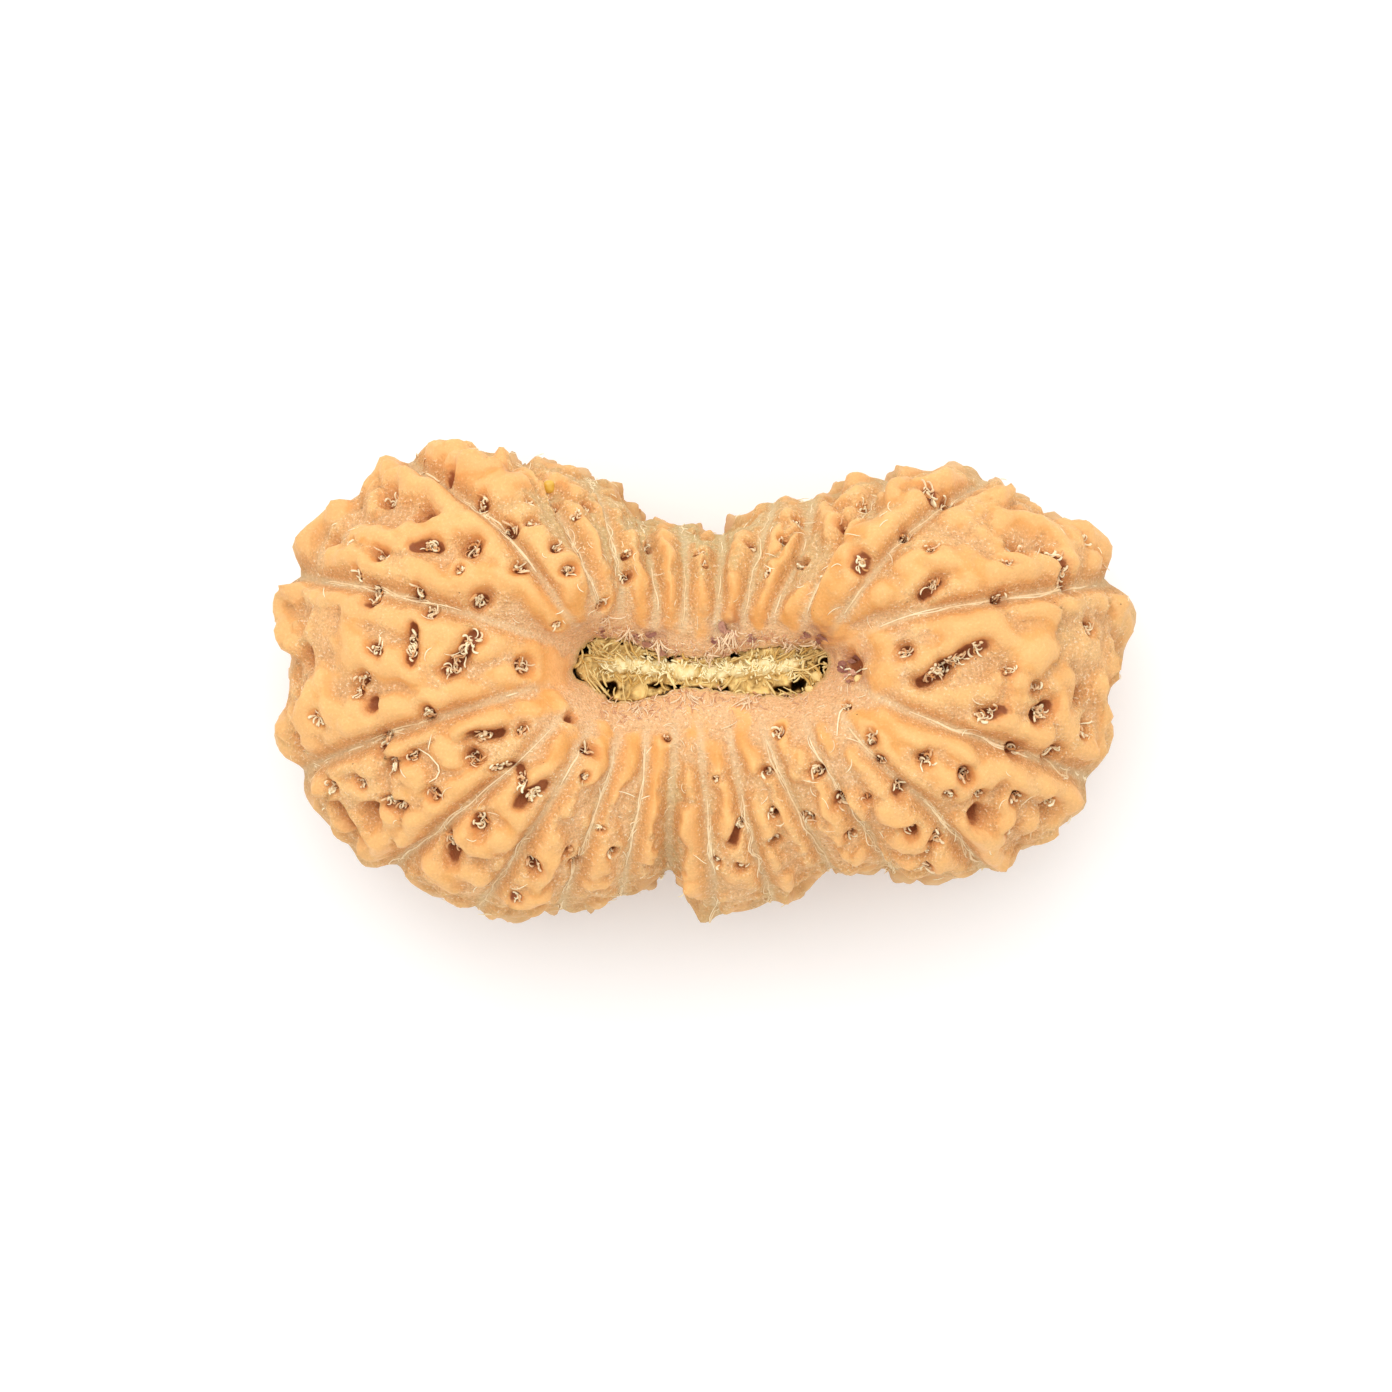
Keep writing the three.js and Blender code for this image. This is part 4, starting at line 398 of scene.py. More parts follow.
def body(u, s):
    """The smooth body: u round the bead, s from the upper lip (0) over the rim (0.5) to the lower one."""
    u, s = np.broadcast_arrays(np.atleast_1d(np.asarray(u, float)), np.atleast_1d(np.asarray(s, float)))
    upper = s <= 0.5
    t = np.where(upper, 2 * s, 2 * (1 - s))
    lobe = lobe_share(u)
    high = UPPER["waist"] + (UPPER["lobe"] - UPPER["waist"]) * lobe
    low = UNDER["waist"] + (UNDER["lobe"] - UNDER["waist"]) * lobe
    top = np.where(upper, high, low)
    by_lip = t < CREST_STEP
    rise = np.clip(1 - t / CREST_STEP, 0, 1) ** LIP_CURVE
    angle = np.clip(math.pi / 2 * (1 - t) / (1 - CREST_STEP), 0, math.pi / 2)
    outer = CREST_SHARE + (1 - CREST_SHARE) * np.clip(np.cos(angle), 0, 1) ** ROUNDNESS
    f = np.where(by_lip, CREST_SHARE * t / CREST_STEP, outer)
    z = np.where(by_lip, top - (top - LIP) * rise, top * np.sin(angle) ** ROUNDNESS)
    x, y = plan(u, np.clip(f, 0, 1))
    return np.column_stack([x, y, np.where(upper, z, -z)])


def outward(u, s):
    step = 1e-3
    across = body(u + step, s) - body(u - step, s)
    along = body(u, np.minimum(1, s + step)) - body(u, np.maximum(0, s - step))
    out = np.cross(across, along)
    return out / np.linalg.norm(out, axis=1)[:, None]


def read_rim():
    """How far the outline stands out of the smooth rim: places round the bead in order, and heights."""
    u = np.arange(FACES * 40) / 40
    at = body(u, 0.5)
    out = outward(u, np.full(len(u), 0.5))
    places = []
    for x, y in OUTLINE:
        i = int(np.argmin((at[:, 0] - x) ** 2 + (at[:, 1] - y) ** 2))
        places.append((u[i], (x - at[i, 0]) * out[i, 0] + (y - at[i, 1]) * out[i, 1]))
    places.sort(key=lambda place: place[0])
    return np.array(places)


RIM = read_rim()


def rim_height(u):
    return np.interp(u % FACES, RIM[:, 0], RIM[:, 1], period=FACES)


def make_lookup():
    """Places of the upper side: on the smooth body, and where they are seen, out on the relief."""
    u, s = np.meshgrid(np.arange(FACES * 12) / 12, np.arange(2, 61) / 120, indexing="ij")
    u, s = u.ravel(), s.ravel()
    at = body(u, s)
    inside = body(u, 0.5) - at
    near_rim = rim_height(u) + RIM_SLOPE * np.hypot(inside[:, 0], inside[:, 1])
    height = np.minimum(SEEN_HEIGHT * smooth(0, 0.3, 2 * s), near_rim)
    out = outward(u, s)
    return at, out, at + out * height[:, None]


LOOKUP_AT, LOOKUP_OUT, LOOKUP_SEEN = make_lookup()


def on_top(x, y):
    """The number of the lookup's place under a plan point of the upper side."""
    return int(np.argmin((LOOKUP_SEEN[:, 0] - x) ** 2 + (LOOKUP_SEEN[:, 1] - y) ** 2))


def read_ridges():
    ridges = []
    for half, height, *xy in RIDGES:
        points = [LOOKUP_AT[on_top(x, y)] for x, y in zip(xy[0::2], xy[1::2])]
        ridges.append((half, height, np.array(points)))
    return ridges


def read_pits():
    """Every pit as its radius, its two ends on the smooth body and the way out of it."""
    pits = []
    for radius, x, y, *end in PITS:
        x2, y2 = end or (x, y)
        place = on_top(x, y)
        pits.append((radius, LOOKUP_AT[place], LOOKUP_AT[on_top(x2, y2)], LOOKUP_OUT[place]))
    return pits


def draw_relief(ridges, pits):
    """The rim and under side by rule, with the same draws in the same order as the part's source."""
    count = iter(range(1, 100000))
    for k in range(FACES):
        width = np.linalg.norm(body(k, 0.5) - body(k + 1, 0.5))
        lines = max(1, int(width / LINE_PITCH + 0.5))
        for j in range(lines):
            phase = 2 * math.pi * draw(next(count))

            def line(s):
                return k + (j + 0.5 + LINE_WANDER * math.sin(phase + 19 * s)) / lines

            last = SHORT_LINE if j % 2 else LINE_ENDS[1]
            s = LINE_ENDS[0] + 0.03 * draw(next(count))
            while s < last:
                end = min(last, s + PIECE_STEPS[0] * (0.7 + 0.8 * draw(next(count))))
                half = DRAWN_HALF[0] + DRAWN_HALF[1] * draw(next(count))
                height = DRAWN_HEIGHT[0] + DRAWN_HEIGHT[1] * draw(next(count))
                points = [body(line(at), at)[0] for at in (s, (s + end) / 2, end)]
                slim = float(smooth(UNDER_SLIM["from"], UNDER_SLIM["to"], s))
                ridges.append((half * (1 - UNDER_SLIM["ridge"] * slim), height, np.array(points)))
                if j + 1 < lines and draw(next(count)) > 1 - LINK_CHANCE:
                    link = [points[1], body(line(s) + 1 / lines, s + 0.02)[0]]
                    ridges.append((LINK_HALF, LINK_HEIGHT, np.array(link)))
                pit_u = line(end) + (draw(next(count)) - 0.5) / lines
                pit_s = end + PIECE_STEPS[1] / 2
                if pit_s < last - 0.02:
                    at = body(pit_u, pit_s)[0]
                    radius = DRAWN_PIT[0] + DRAWN_PIT[1] * draw(next(count))
                    out = outward(np.array([pit_u]), np.array([pit_s]))[0]
                    pits.append((radius * (1 - UNDER_SLIM["pit"] * slim), at, at, out))
                s = end + PIECE_STEPS[1]


def waves(p, scale, seed):
    """A smooth unevenness between about -1 and 1, with bumps about scale millimetres apart."""
    rng = np.random.default_rng(seed)
    total = np.zeros(len(p))
    for _ in range(9):
        way = rng.normal(size=3)
        way *= 2 * math.pi / scale * rng.uniform(0.6, 1.5) / np.linalg.norm(way)
        total += np.sin(p @ way + rng.uniform(0, 2 * math.pi))
    return total / 4.2


def distance_to(p, a, b):
    step = b - a
    t = np.clip((p - a) @ step / max(step @ step, 1e-12), 0, 1)
    return np.linalg.norm(p - a - t[:, None] * step, axis=1)


def near(p, points, reach):
    low, high = points.min(axis=0) - reach, points.max(axis=0) + reach
    return np.flatnonzero(np.all((p > low) & (p < high), axis=1))


def ridge_profile(ratio):
    """Height over a ridge's foot, for a distance from its crest in half widths."""
    return CREST_PART / (1 + ratio**STEEP) + (1 - CREST_PART) * smooth(RIDGE_REACH, 0.5, ratio)


RIDGE_LIST = read_ridges()
PIT_LIST = read_pits()
TOP_PITS = len(PIT_LIST)
draw_relief(RIDGE_LIST, PIT_LIST)


def relief(u, s):
    """Height over the smooth body, and the fields that the stone's colours are painted from."""
    p = body(u, s)
    warped = p + WARP * np.column_stack([waves(p, 1.5, seed) for seed in (1, 2, 3)])
    warped += 0.3 * WARP * np.column_stack([waves(p, 0.6, seed) for seed in (11, 12, 13)])
    knobs = 1 + KNOBS * waves(p, 1.7, 8)
    from_groove = np.linalg.norm(p - body(np.round(u), s), axis=1)
    share = 1 - np.abs(2 * s - 1)
    deepening = smooth(*GROOVE_FADE, share)
    opened = 1 - GROOVE_DEPTH * deepening * np.exp(-((from_groove / GROOVE_HALF) ** 2))
    total = np.zeros(len(p))
    for half, height, points in RIDGE_LIST:
        close = near(warped, points, RIDGE_REACH * half)
        d = np.full(len(close), np.inf)
        for a, b in zip(points, points[1:]):
            d = np.minimum(d, distance_to(warped[close], a, b))
        total[close] += (height * knobs[close] * ridge_profile(d / half)) ** MERGE_POWER
    crest = total ** (1 / MERGE_POWER)
    low = NEAR_MOUTH * (1 - smooth(*MOUTH_REACH, share)) + OVER_WAIST * (1 - lobe_share(u))
    h = opened * (SWELL + crest) * (1 - low)
    pit_ratio = np.full(len(p), 4.0)
    small_warp = p + (warped - p) * 0.5
    for radius, a, b, _ in PIT_LIST:
        close = near(small_warp, np.array([a, b]), PIT_REACH * radius)
        d = distance_to(small_warp[close], a, b)
        h[close] += COLLAR_RISE * np.exp(-(((d - COLLAR_AT * radius) / COLLAR_SPREAD) ** 2))
        depth = radius + (PIT_DEPTH if np.array_equal(a, b) else SLOT_DEPTH)
        h[close] -= depth * np.exp(-((d / radius) ** PIT_SIDE))
        pit_ratio[close] = np.minimum(pit_ratio[close], d / radius)
    h += LUMPS * (waves(p, 2.2, 4) + 0.5 * waves(p, 1.1, 7)) * opened
    h += RIM_LUMPS * waves(p, 1.2, 9) * smooth(0.55, 0.85, share) * opened
    h += CRUMBS * waves(p, 0.55, 6) * (1.2 - np.clip(crest, 0, 1))
    h *= smooth(0, MOUTH_FADE, share) * smooth(-0.15, 0.25, share)
    rim = rim_height(u)
    inside = body(u, 0.5) - p
    highest = rim + RIM_SLOPE * np.hypot(inside[:, 0], inside[:, 1])
    h = np.minimum(h - np.maximum(0, PEAK * opened - highest), highest)
    hold = np.exp(-(((s - 0.5) / RIM_BAND) ** 2))
    h = h + (rim - h) * hold
    return p, h, {"crest": crest * opened, "pit": pit_ratio, "groove": from_groove, "mouth": share}


def add_mesh(name, vertices, faces, material, fields=None, shade_smooth=True):
    """A piece from points in the part's own millimetres, which rides on the bead."""
    moved = np.asarray(vertices, float) + (-PLAN_CENTRE[0], -PLAN_CENTRE[1], FOOT)
    mesh = bpy.data.meshes.new(name)
    mesh.from_pydata((moved * MM).tolist(), [], faces)
    mesh.update()
    if shade_smooth:
        mesh.polygons.foreach_set("use_smooth", [True] * len(mesh.polygons))
    for field, values in (fields or {}).items():
        layer = mesh.attributes.new(field, "FLOAT", "POINT")
        layer.data.foreach_set("value", np.asarray(values, dtype=np.float32))
    piece = bpy.data.objects.new(name, mesh)
    bpy.context.collection.objects.link(piece)
    mesh.materials.append(material)
    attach(piece, "root")
    return piece


def blurred(values, reach):
    """Values on the stone's grid, each the mean of its neighbours up to reach rows and columns away."""
    total = sum(np.roll(values, step, axis=0) for step in range(-reach, reach + 1))
    padded = np.pad(total, ((0, 0), (reach, reach)), mode="edge")
    rows = values.shape[1]
    return sum(padded[:, k:k + rows] for k in range(2 * reach + 1)) / (2 * reach + 1) ** 2


def stone_grid():
    """Places on the stone: columns round the bead, rows from the upper lip over the rim to the lower lip."""
    u = np.arange(COLUMNS) * FACES / COLUMNS
    s = np.concatenate([np.linspace(0, 0.5, TOP_ROWS, endpoint=False), np.linspace(0.5, 1, UNDER_ROWS + 1)])
    rows = len(s) + WALL_ROWS
    u_all, s_all = (grid.ravel() for grid in np.meshgrid(u, s, indexing="ij"))
    p, h, fields = relief(u_all, s_all)
    out = outward(u_all, s_all)
    heights = h.reshape(COLUMNS, len(s))
    by_rim = smooth(*RIM_SOFT, 1 - np.abs(2 * s - 1))
    heights = heights + (blurred(heights, RIM_BLUR) - heights) * by_rim
    p = p + out * heights.reshape(-1, 1)
    tear = LIP_TEAR * (waves(body(u, 0), 0.5, 51) + waves(body(u, 0), 1.3, 52))
    torn_x, torn_y = (a - b for a, b in zip(plan(u, np.maximum(LIP_OPEN + tear, 0)), plan(u, 0 * u)))
    fade = np.exp(-((s / LIP_SOFT) ** 2))
    p[:, 0] += np.outer(torn_x, fade).ravel()
    p[:, 1] += np.outer(torn_y, fade).ravel()
    p[:, 2] += np.outer(0.08 * waves(body(u, 0), 0.4, 53), fade).ravel()
    # How far each point lies below its neighbours, which the painted shade and highlight are read from.
    fields["dip"] = (blurred(heights, 2) - heights + 0.6 * (blurred(heights, 6) - heights)).ravel()
    # How far each point turns away from the smooth body's way out, which the painted flank shade is read from.
    grid = p.reshape(COLUMNS, len(s), 3)
    turned = np.cross(np.roll(grid, -1, axis=0) - np.roll(grid, 1, axis=0), np.gradient(grid, axis=1))
    turned /= np.maximum(np.linalg.norm(turned, axis=2), 1e-12)[:, :, None]
    fields["slope"] = 1 - np.sum(turned.reshape(-1, 3) * out, axis=1)
    p[:, 2] = np.maximum(p[:, 2], -FOOT)
    wall_z = -LIP + 2 * LIP * np.arange(1, WALL_ROWS + 1) / (WALL_ROWS + 1)
    wall_x, wall_y = plan(u, np.maximum(LIP_OPEN + tear, 0))
    wall = np.empty((COLUMNS, WALL_ROWS, 3))
    wall[:, :, 0], wall[:, :, 1], wall[:, :, 2] = wall_x[:, None], wall_y[:, None], wall_z
    vertices = np.concatenate([p.reshape(COLUMNS, len(s), 3), wall], axis=1).reshape(-1, 3)
    blank = {"crest": 0, "pit": 4, "groove": 2, "mouth": 0, "dip": 0, "slope": 0}
    for name in fields:
        on_wall = np.full((COLUMNS, WALL_ROWS), float(blank[name]))
        fields[name] = np.concatenate([fields[name].reshape(COLUMNS, -1), on_wall], axis=1).ravel()
    return rows, vertices, fields


def ring_faces(columns, rows):
    i, j = (grid.ravel() for grid in np.meshgrid(np.arange(columns), np.arange(rows), indexing="ij"))
    across, along = (i + 1) % columns, (j + 1) % rows
    corners = [i * rows + j, across * rows + j, across * rows + along, i * rows + along]
    return np.column_stack(corners).tolist()


def make_stone(material):
    """The stone's fine surface, and a tree of it that other pieces are placed on."""
    rows, vertices, fields = stone_grid()
    zone = {name: np.zeros(len(vertices)) for name in ("green", "plum")}
    for name, patches in (("green", GREEN_PATCHES), ("plum", PLUM_PATCHES)):
        for x, y, radius, strength in patches:
            away = np.hypot(vertices[:, 0] - x, vertices[:, 1] - y)
            zone[name] += strength * np.exp(-((away / radius) ** 2)) * (vertices[:, 2] > 0)
    fields.update(zone)
    faces = ring_faces(COLUMNS, rows)
    stone = add_mesh("stone_surface", vertices, faces, material, fields)
    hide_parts("bead_stone")
    return BVHTree.FromPolygons(vertices.tolist(), faces)


def drop(tree, x, y):
    """The place and slope of the stone's top under a plan point, or beside it where that is in the slit."""
    place, normal, _, _ = tree.ray_cast(Vector((x, y, 30)), Vector((0, 0, -1)))
    if place is None:
        place, normal, _, _ = tree.find_nearest(Vector((x, y, LIP)))
    return np.array(place), np.array(normal)


class Strands:
    """Thin round fibres, collected into one mesh. Each has a tint from 0 to 1 for its colour."""

    def __init__(self, sides=5):
        self.sides = sides
        self.vertices, self.faces, self.tints = [], [], []

    def add(self, points, radius, tint, taper=0.5):
        """A fibre through points, thinner towards its ends by taper."""
        points = np.array(points, float)
        points[:, 2] = np.maximum(points[:, 2], np.max(radius) - FOOT)
        ahead = np.gradient(points, axis=0)
        ahead /= np.maximum(np.linalg.norm(ahead, axis=1), 1e-9)[:, None]
        side = np.cross(ahead, (0.31, 0.17, 0.93))
        side /= np.maximum(np.linalg.norm(side, axis=1), 1e-9)[:, None]
        up = np.cross(ahead, side)
        along = np.linspace(0, 1, len(points))
        width = np.broadcast_to(radius, along.shape) * (1 - taper * np.abs(2 * along - 1) ** 3)
        first = len(self.vertices)
        for i, at in enumerate(points):
            for j in range(self.sides):
                turn = 2 * math.pi * j / self.sides
                self.vertices.append(at + width[i] * (math.cos(turn) * side[i] + math.sin(turn) * up[i]))
        for i in range(len(points) - 1):
            for j in range(self.sides):
                a, b = first + i * self.sides + j, first + i * self.sides + (j + 1) % self.sides
                self.faces.append((a, b, b + self.sides, a + self.sides))
        last = first + (len(points) - 1) * self.sides
        self.faces.append(tuple(range(first + self.sides - 1, first - 1, -1)))
        self.faces.append(tuple(range(last, last + self.sides)))
        self.tints += [tint] * (len(points) * self.sides)

    def finish(self, name, material):
        piece = add_mesh(name, self.vertices, self.faces, material, {"tint": self.tints})
        return piece


def make_threads(material):
    """The pale thread in each groove: broken, frayed, and fainter in some grooves."""
    strands = Strands()
    rng = np.random.default_rng(11)
    s = np.linspace(0.075, 0.95, 190)
    for k in range(FACES):
        width = float(np.linalg.norm(body(k, 0.5) - body(k + 1, 0.5)))
        faint = k in FAINT_GROOVES
        for strand in range(1 if faint else 4):
            wander = waves(np.column_stack([s * 40, s * 0 + k, s * 0 + strand]), 2.5, 20 + k)
            u = k + (THREAD_WANDER[min(strand, 1)] / width) * wander
            p, h, _ = relief(u, s)
            points = p + outward(u, s) * (h + THREAD_LIFT + 0.03 * wander)[:, None]
            broken = waves(np.column_stack([s * 40, s * 0 + k, s * 0 + strand]), 6, 60 + k)
            there = broken > (0.0 if faint else -0.5 + 0.25 * strand)
            edges = np.flatnonzero(np.diff(np.concatenate([[0], there.astype(int), [0]])))
            for start, end in zip(edges[0::2], edges[1::2]):
                if end - start > 3:
                    radius = THREAD_RADIUS[min(strand, 1)] * (0.8 + 0.3 * wander[start:end])
                    radius *= STRONG_THREAD if k in STRONG_GROOVES else 1
                    strands.add(points[start:end], radius, rng.uniform(0.4, 1))
            out = outward(u, s)
            for i in rng.integers(2, len(s) - 2, 0 if faint else FRAYS):
                if there[i]:
                    ahead = (points[i + 1] - points[i - 1]) * rng.choice((-1, 1))
                    heading = ahead / max(np.linalg.norm(ahead), 1e-9) + 0.6 * tangent(out[i], rng)
                    heading /= np.linalg.norm(heading)
                    fray = curl(points[i], out[i], heading, rng.uniform(0.25, 0.8), rng.normal(), 0.2)
                    strands.add(fray, rng.uniform(0.018, 0.032), rng.uniform(0.5, 1))
    strands.finish("groove_threads", material)


def curl(place, normal, start, length, bend, lift, steps=7):
    """The points of a curled fibre that leaves place along start and bends round the normal."""
    points = [np.array(place, float)]
    heading = np.array(start, float)
    for i in range(steps):
        turn = bend / steps
        heading = heading * math.cos(turn) + np.cross(normal, heading) * math.sin(turn)
        climb = lift * math.sin(math.pi * (i + 0.5) / steps) ** 2 - 0.35 * lift * (i + 0.5) / steps
        points.append(points[-1] + (heading + climb * normal) * length / steps)
    return np.array(points)


def tangent(normal, rng):
    side = np.cross(normal, rng.normal(size=3))
    return side / max(np.linalg.norm(side), 1e-9)


def make_pit_fibres(tree, material):
    """Tufts of dry, curled fibre in the pits."""
    strands = Strands(4)
    rng = np.random.default_rng(5)
    for number, (radius, a, b, out) in enumerate(PIT_LIST):
        spread = float(np.linalg.norm(b - a))
        top = number < TOP_PITS
        if rng.uniform() < (0.05 if top else 0.45) or (top and PITS[number][1:3] in BARE_PITS):
            continue
        count = int((10 if top else 6) * (0.5 + radius / 0.6) * (1 + spread / 0.9)) + int(rng.integers(0, 4))
        clusters = rng.uniform(0, 1, 1 + int(spread / 0.7))
        for _ in range(count):
            share = np.clip(rng.choice(clusters) + 0.3 * radius / max(spread, radius) * rng.normal(), 0, 1)
            at = a + (b - a) * share + tangent(out, rng) * radius * rng.uniform(0, 0.7)
            place, normal, _, _ = tree.ray_cast(Vector(at + 3 * out), Vector(-out))
            if place is None:
                continue
            place, normal = np.array(place), np.array(normal)
            place = place + out * (rng.uniform(0.05, 0.7) * (radius + 0.2) if top else rng.uniform(-0.1, 0.2))
            length = radius * rng.uniform(0.5, 1.6) + 0.1
            points = curl(place, normal, tangent(normal, rng), length, rng.uniform(0.6, 4.5), 0.6 if top else 0.2)
            width = np.linspace(rng.uniform(0.02, 0.045), rng.uniform(0.04, 0.1), len(points))
            strands.add(points, width, rng.uniform(0, 1) ** 0.7)
    strands.finish("pit_fibres", material)


def make_core(material):
    """The leaf of dry fibre that stands in the slit, crumbled along its top and split in the middle."""
    line = np.array(CORE_LINE, float)
    columns, around = 260, 36
    share = np.linspace(0, 1, columns)
    reach = np.linspace(line[0, 0] - 0.15, line[-1, 0] + 0.15, columns)
    middle = np.interp(reach, line[:, 0], line[:, 1])
    turn = 2 * math.pi * np.arange(around) / around
    end = np.sqrt(np.clip(1 - np.abs(2 * share - 1) ** 14, 0.0, 1))
    p = np.empty((columns, around, 3))
    p[:, :, 0] = reach[:, None]
    p[:, :, 1] = middle[:, None] + CORE_WIDE * end[:, None] * np.sign(np.cos(turn)) * np.abs(np.cos(turn)) ** 0.5
    p[:, :, 2] = (CORE_TOP + 0.05) * np.sign(np.sin(turn)) * np.abs(np.sin(turn)) ** 0.55
    flat = p.reshape(-1, 3)
    crumble = waves(flat * (1.0, 1.0, 0.35), 0.9, 31) * 0.12 + waves(flat * (1.0, 1.0, 0.5), 0.3, 32) * 0.07
    crumble += waves(flat, 0.16, 36) * 0.035
    side = np.tile(np.cos(turn), columns)
    high = np.tile(np.sin(turn), columns)
    crest = 0.16 * waves(flat * (1, 1, 0.01), 1.6, 33) + 0.14 * waves(flat * (1, 1, 0.01), 0.4, 34)
    split = np.exp(-(((flat[:, 0] + 0.3) / 0.09) ** 2))
    flat[:, 1] += side * crumble * 1.3 * np.repeat(end, around)
    flat[:, 2] += np.where(high > 0.2, crest - 0.7 * split + crumble, crumble)
    fields = {"tint": np.clip(0.5 + 0.4 * waves(flat, 0.5, 35), 0, 1)}
    i, j = (g.ravel() for g in np.meshgrid(np.arange(columns - 1), np.arange(around), indexing="ij"))
    nxt = (j + 1) % around
    faces = np.column_stack([i * around + j, i * around + nxt, (i + 1) * around + nxt, (i + 1) * around + j]).tolist()
    faces += [tuple(range(around - 1, -1, -1)), tuple((columns - 1) * around + n for n in range(around))]
    core = add_mesh("core_leaf", flat, faces, material, fields)
    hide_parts("core_fibre")
    crumbs = Strands(4)
    rng = np.random.default_rng(17)
    up = np.array([0.0, 0.0, 1.0])
    for _ in range(CORE_CRUMBS):
        x = rng.uniform(line[0, 0] - 0.2, line[-1, 0] + 0.3)
        y = np.interp(x, line[:, 0], line[:, 1]) + rng.normal() * CORE_WIDE * 0.65
        away = abs(y - np.interp(x, line[:, 0], line[:, 1])) / CORE_WIDE
        place = np.array([x, y, CORE_TOP + 0.1 - 0.28 * away**2 + rng.normal() * 0.05])
        points = curl(place, up, tangent(up, rng), rng.uniform(0.12, 0.4), rng.uniform(-2, 2), 0.2, 5)
        crumbs.add(points, rng.uniform(0.025, 0.06), float(np.clip(1.1 - 0.5 * away + rng.normal() * 0.2, 0, 1)))
    crumbs.finish("core_crumbs", material)


def inside_slit(x, y):
    """How far a plan point is inside the hole, as a share of the way from its middle to the wall: 1 is the wall."""
    ring = np.column_stack(plan(np.arange(0, FACES, 0.1), np.zeros(FACES * 10)))
    middle = np.array([np.clip(x, -4.5, 4.5), 0.7])
    to = np.array([x, y]) - middle
    away = np.linalg.norm(to)
    if away < 1e-6:
        return 0.0
    rays = ring - middle
    ahead = rays @ to / away / np.linalg.norm(rays, axis=1)
    return away / np.linalg.norm(rays[int(np.argmax(ahead))])


def make_pulp(material):
    """The torn, fibrous pulp between the core and the walls of the slit, with deep gaps in it painted dark as shade.
    """
    step = 0.1
    xs, ys = np.arange(-6.5, 6.5, step), np.arange(-1.3, 2.6, step)
    grid = np.array([(x, y, 0.0) for x in xs for y in ys])
    inside = np.array([inside_slit(x, y) for x, y, _ in grid])
    gap = np.zeros(len(grid))
    for x, y, long, wide in PULP_GAPS:
        gap = np.maximum(gap, 1.2 - np.hypot((grid[:, 0] - x) / long, (grid[:, 1] - y) / wide))
    torn = gap + 0.2 * waves(grid, 0.8, 41) + 0.16 * waves(grid, 0.35, 42)
    sunk = 0.55 - 0.45 * np.clip(inside, 0, 1) ** 2 + GAP_DEPTH * smooth(0.3, 0.9, torn)
    sunk += 1.4 * smooth(PULP_EDGE[0], PULP_EDGE[1], inside)
    rough = 0.15 * waves(grid, 1.0, 43) + 0.1 * waves(grid, 0.45, 44) + 0.06 * waves(grid, 0.22, 46)
    grid[:, 2] = LIP - 0.05 - sunk + rough
    kept = inside < PULP_EDGE[1]
    columns = len(ys)
    faces = []
    for i in range(len(xs) - 1):
        for j in range(columns - 1):
            corner = [i * columns + j, (i + 1) * columns + j, (i + 1) * columns + j + 1, i * columns + j + 1]
            if kept[corner].all():
                faces.append(tuple(corner))
    used = np.unique(np.array(faces).ravel())
    number = np.zeros(len(grid), int)
    number[used] = np.arange(len(used))
    faces = number[np.array(faces)].tolist()
    # Painted shade: the pulp is tinted darker the lower it lies, and darkest in the gaps.
    high = rough[used] - 1.2 * smooth(0.1, 0.7, torn[used])
    tint = np.clip(0.68 + 0.2 * waves(grid[used], 0.5, 45) + 1.3 * high, 0, 1)
    piece = add_mesh("slit_pulp", grid[used], faces, material, {"tint": tint})


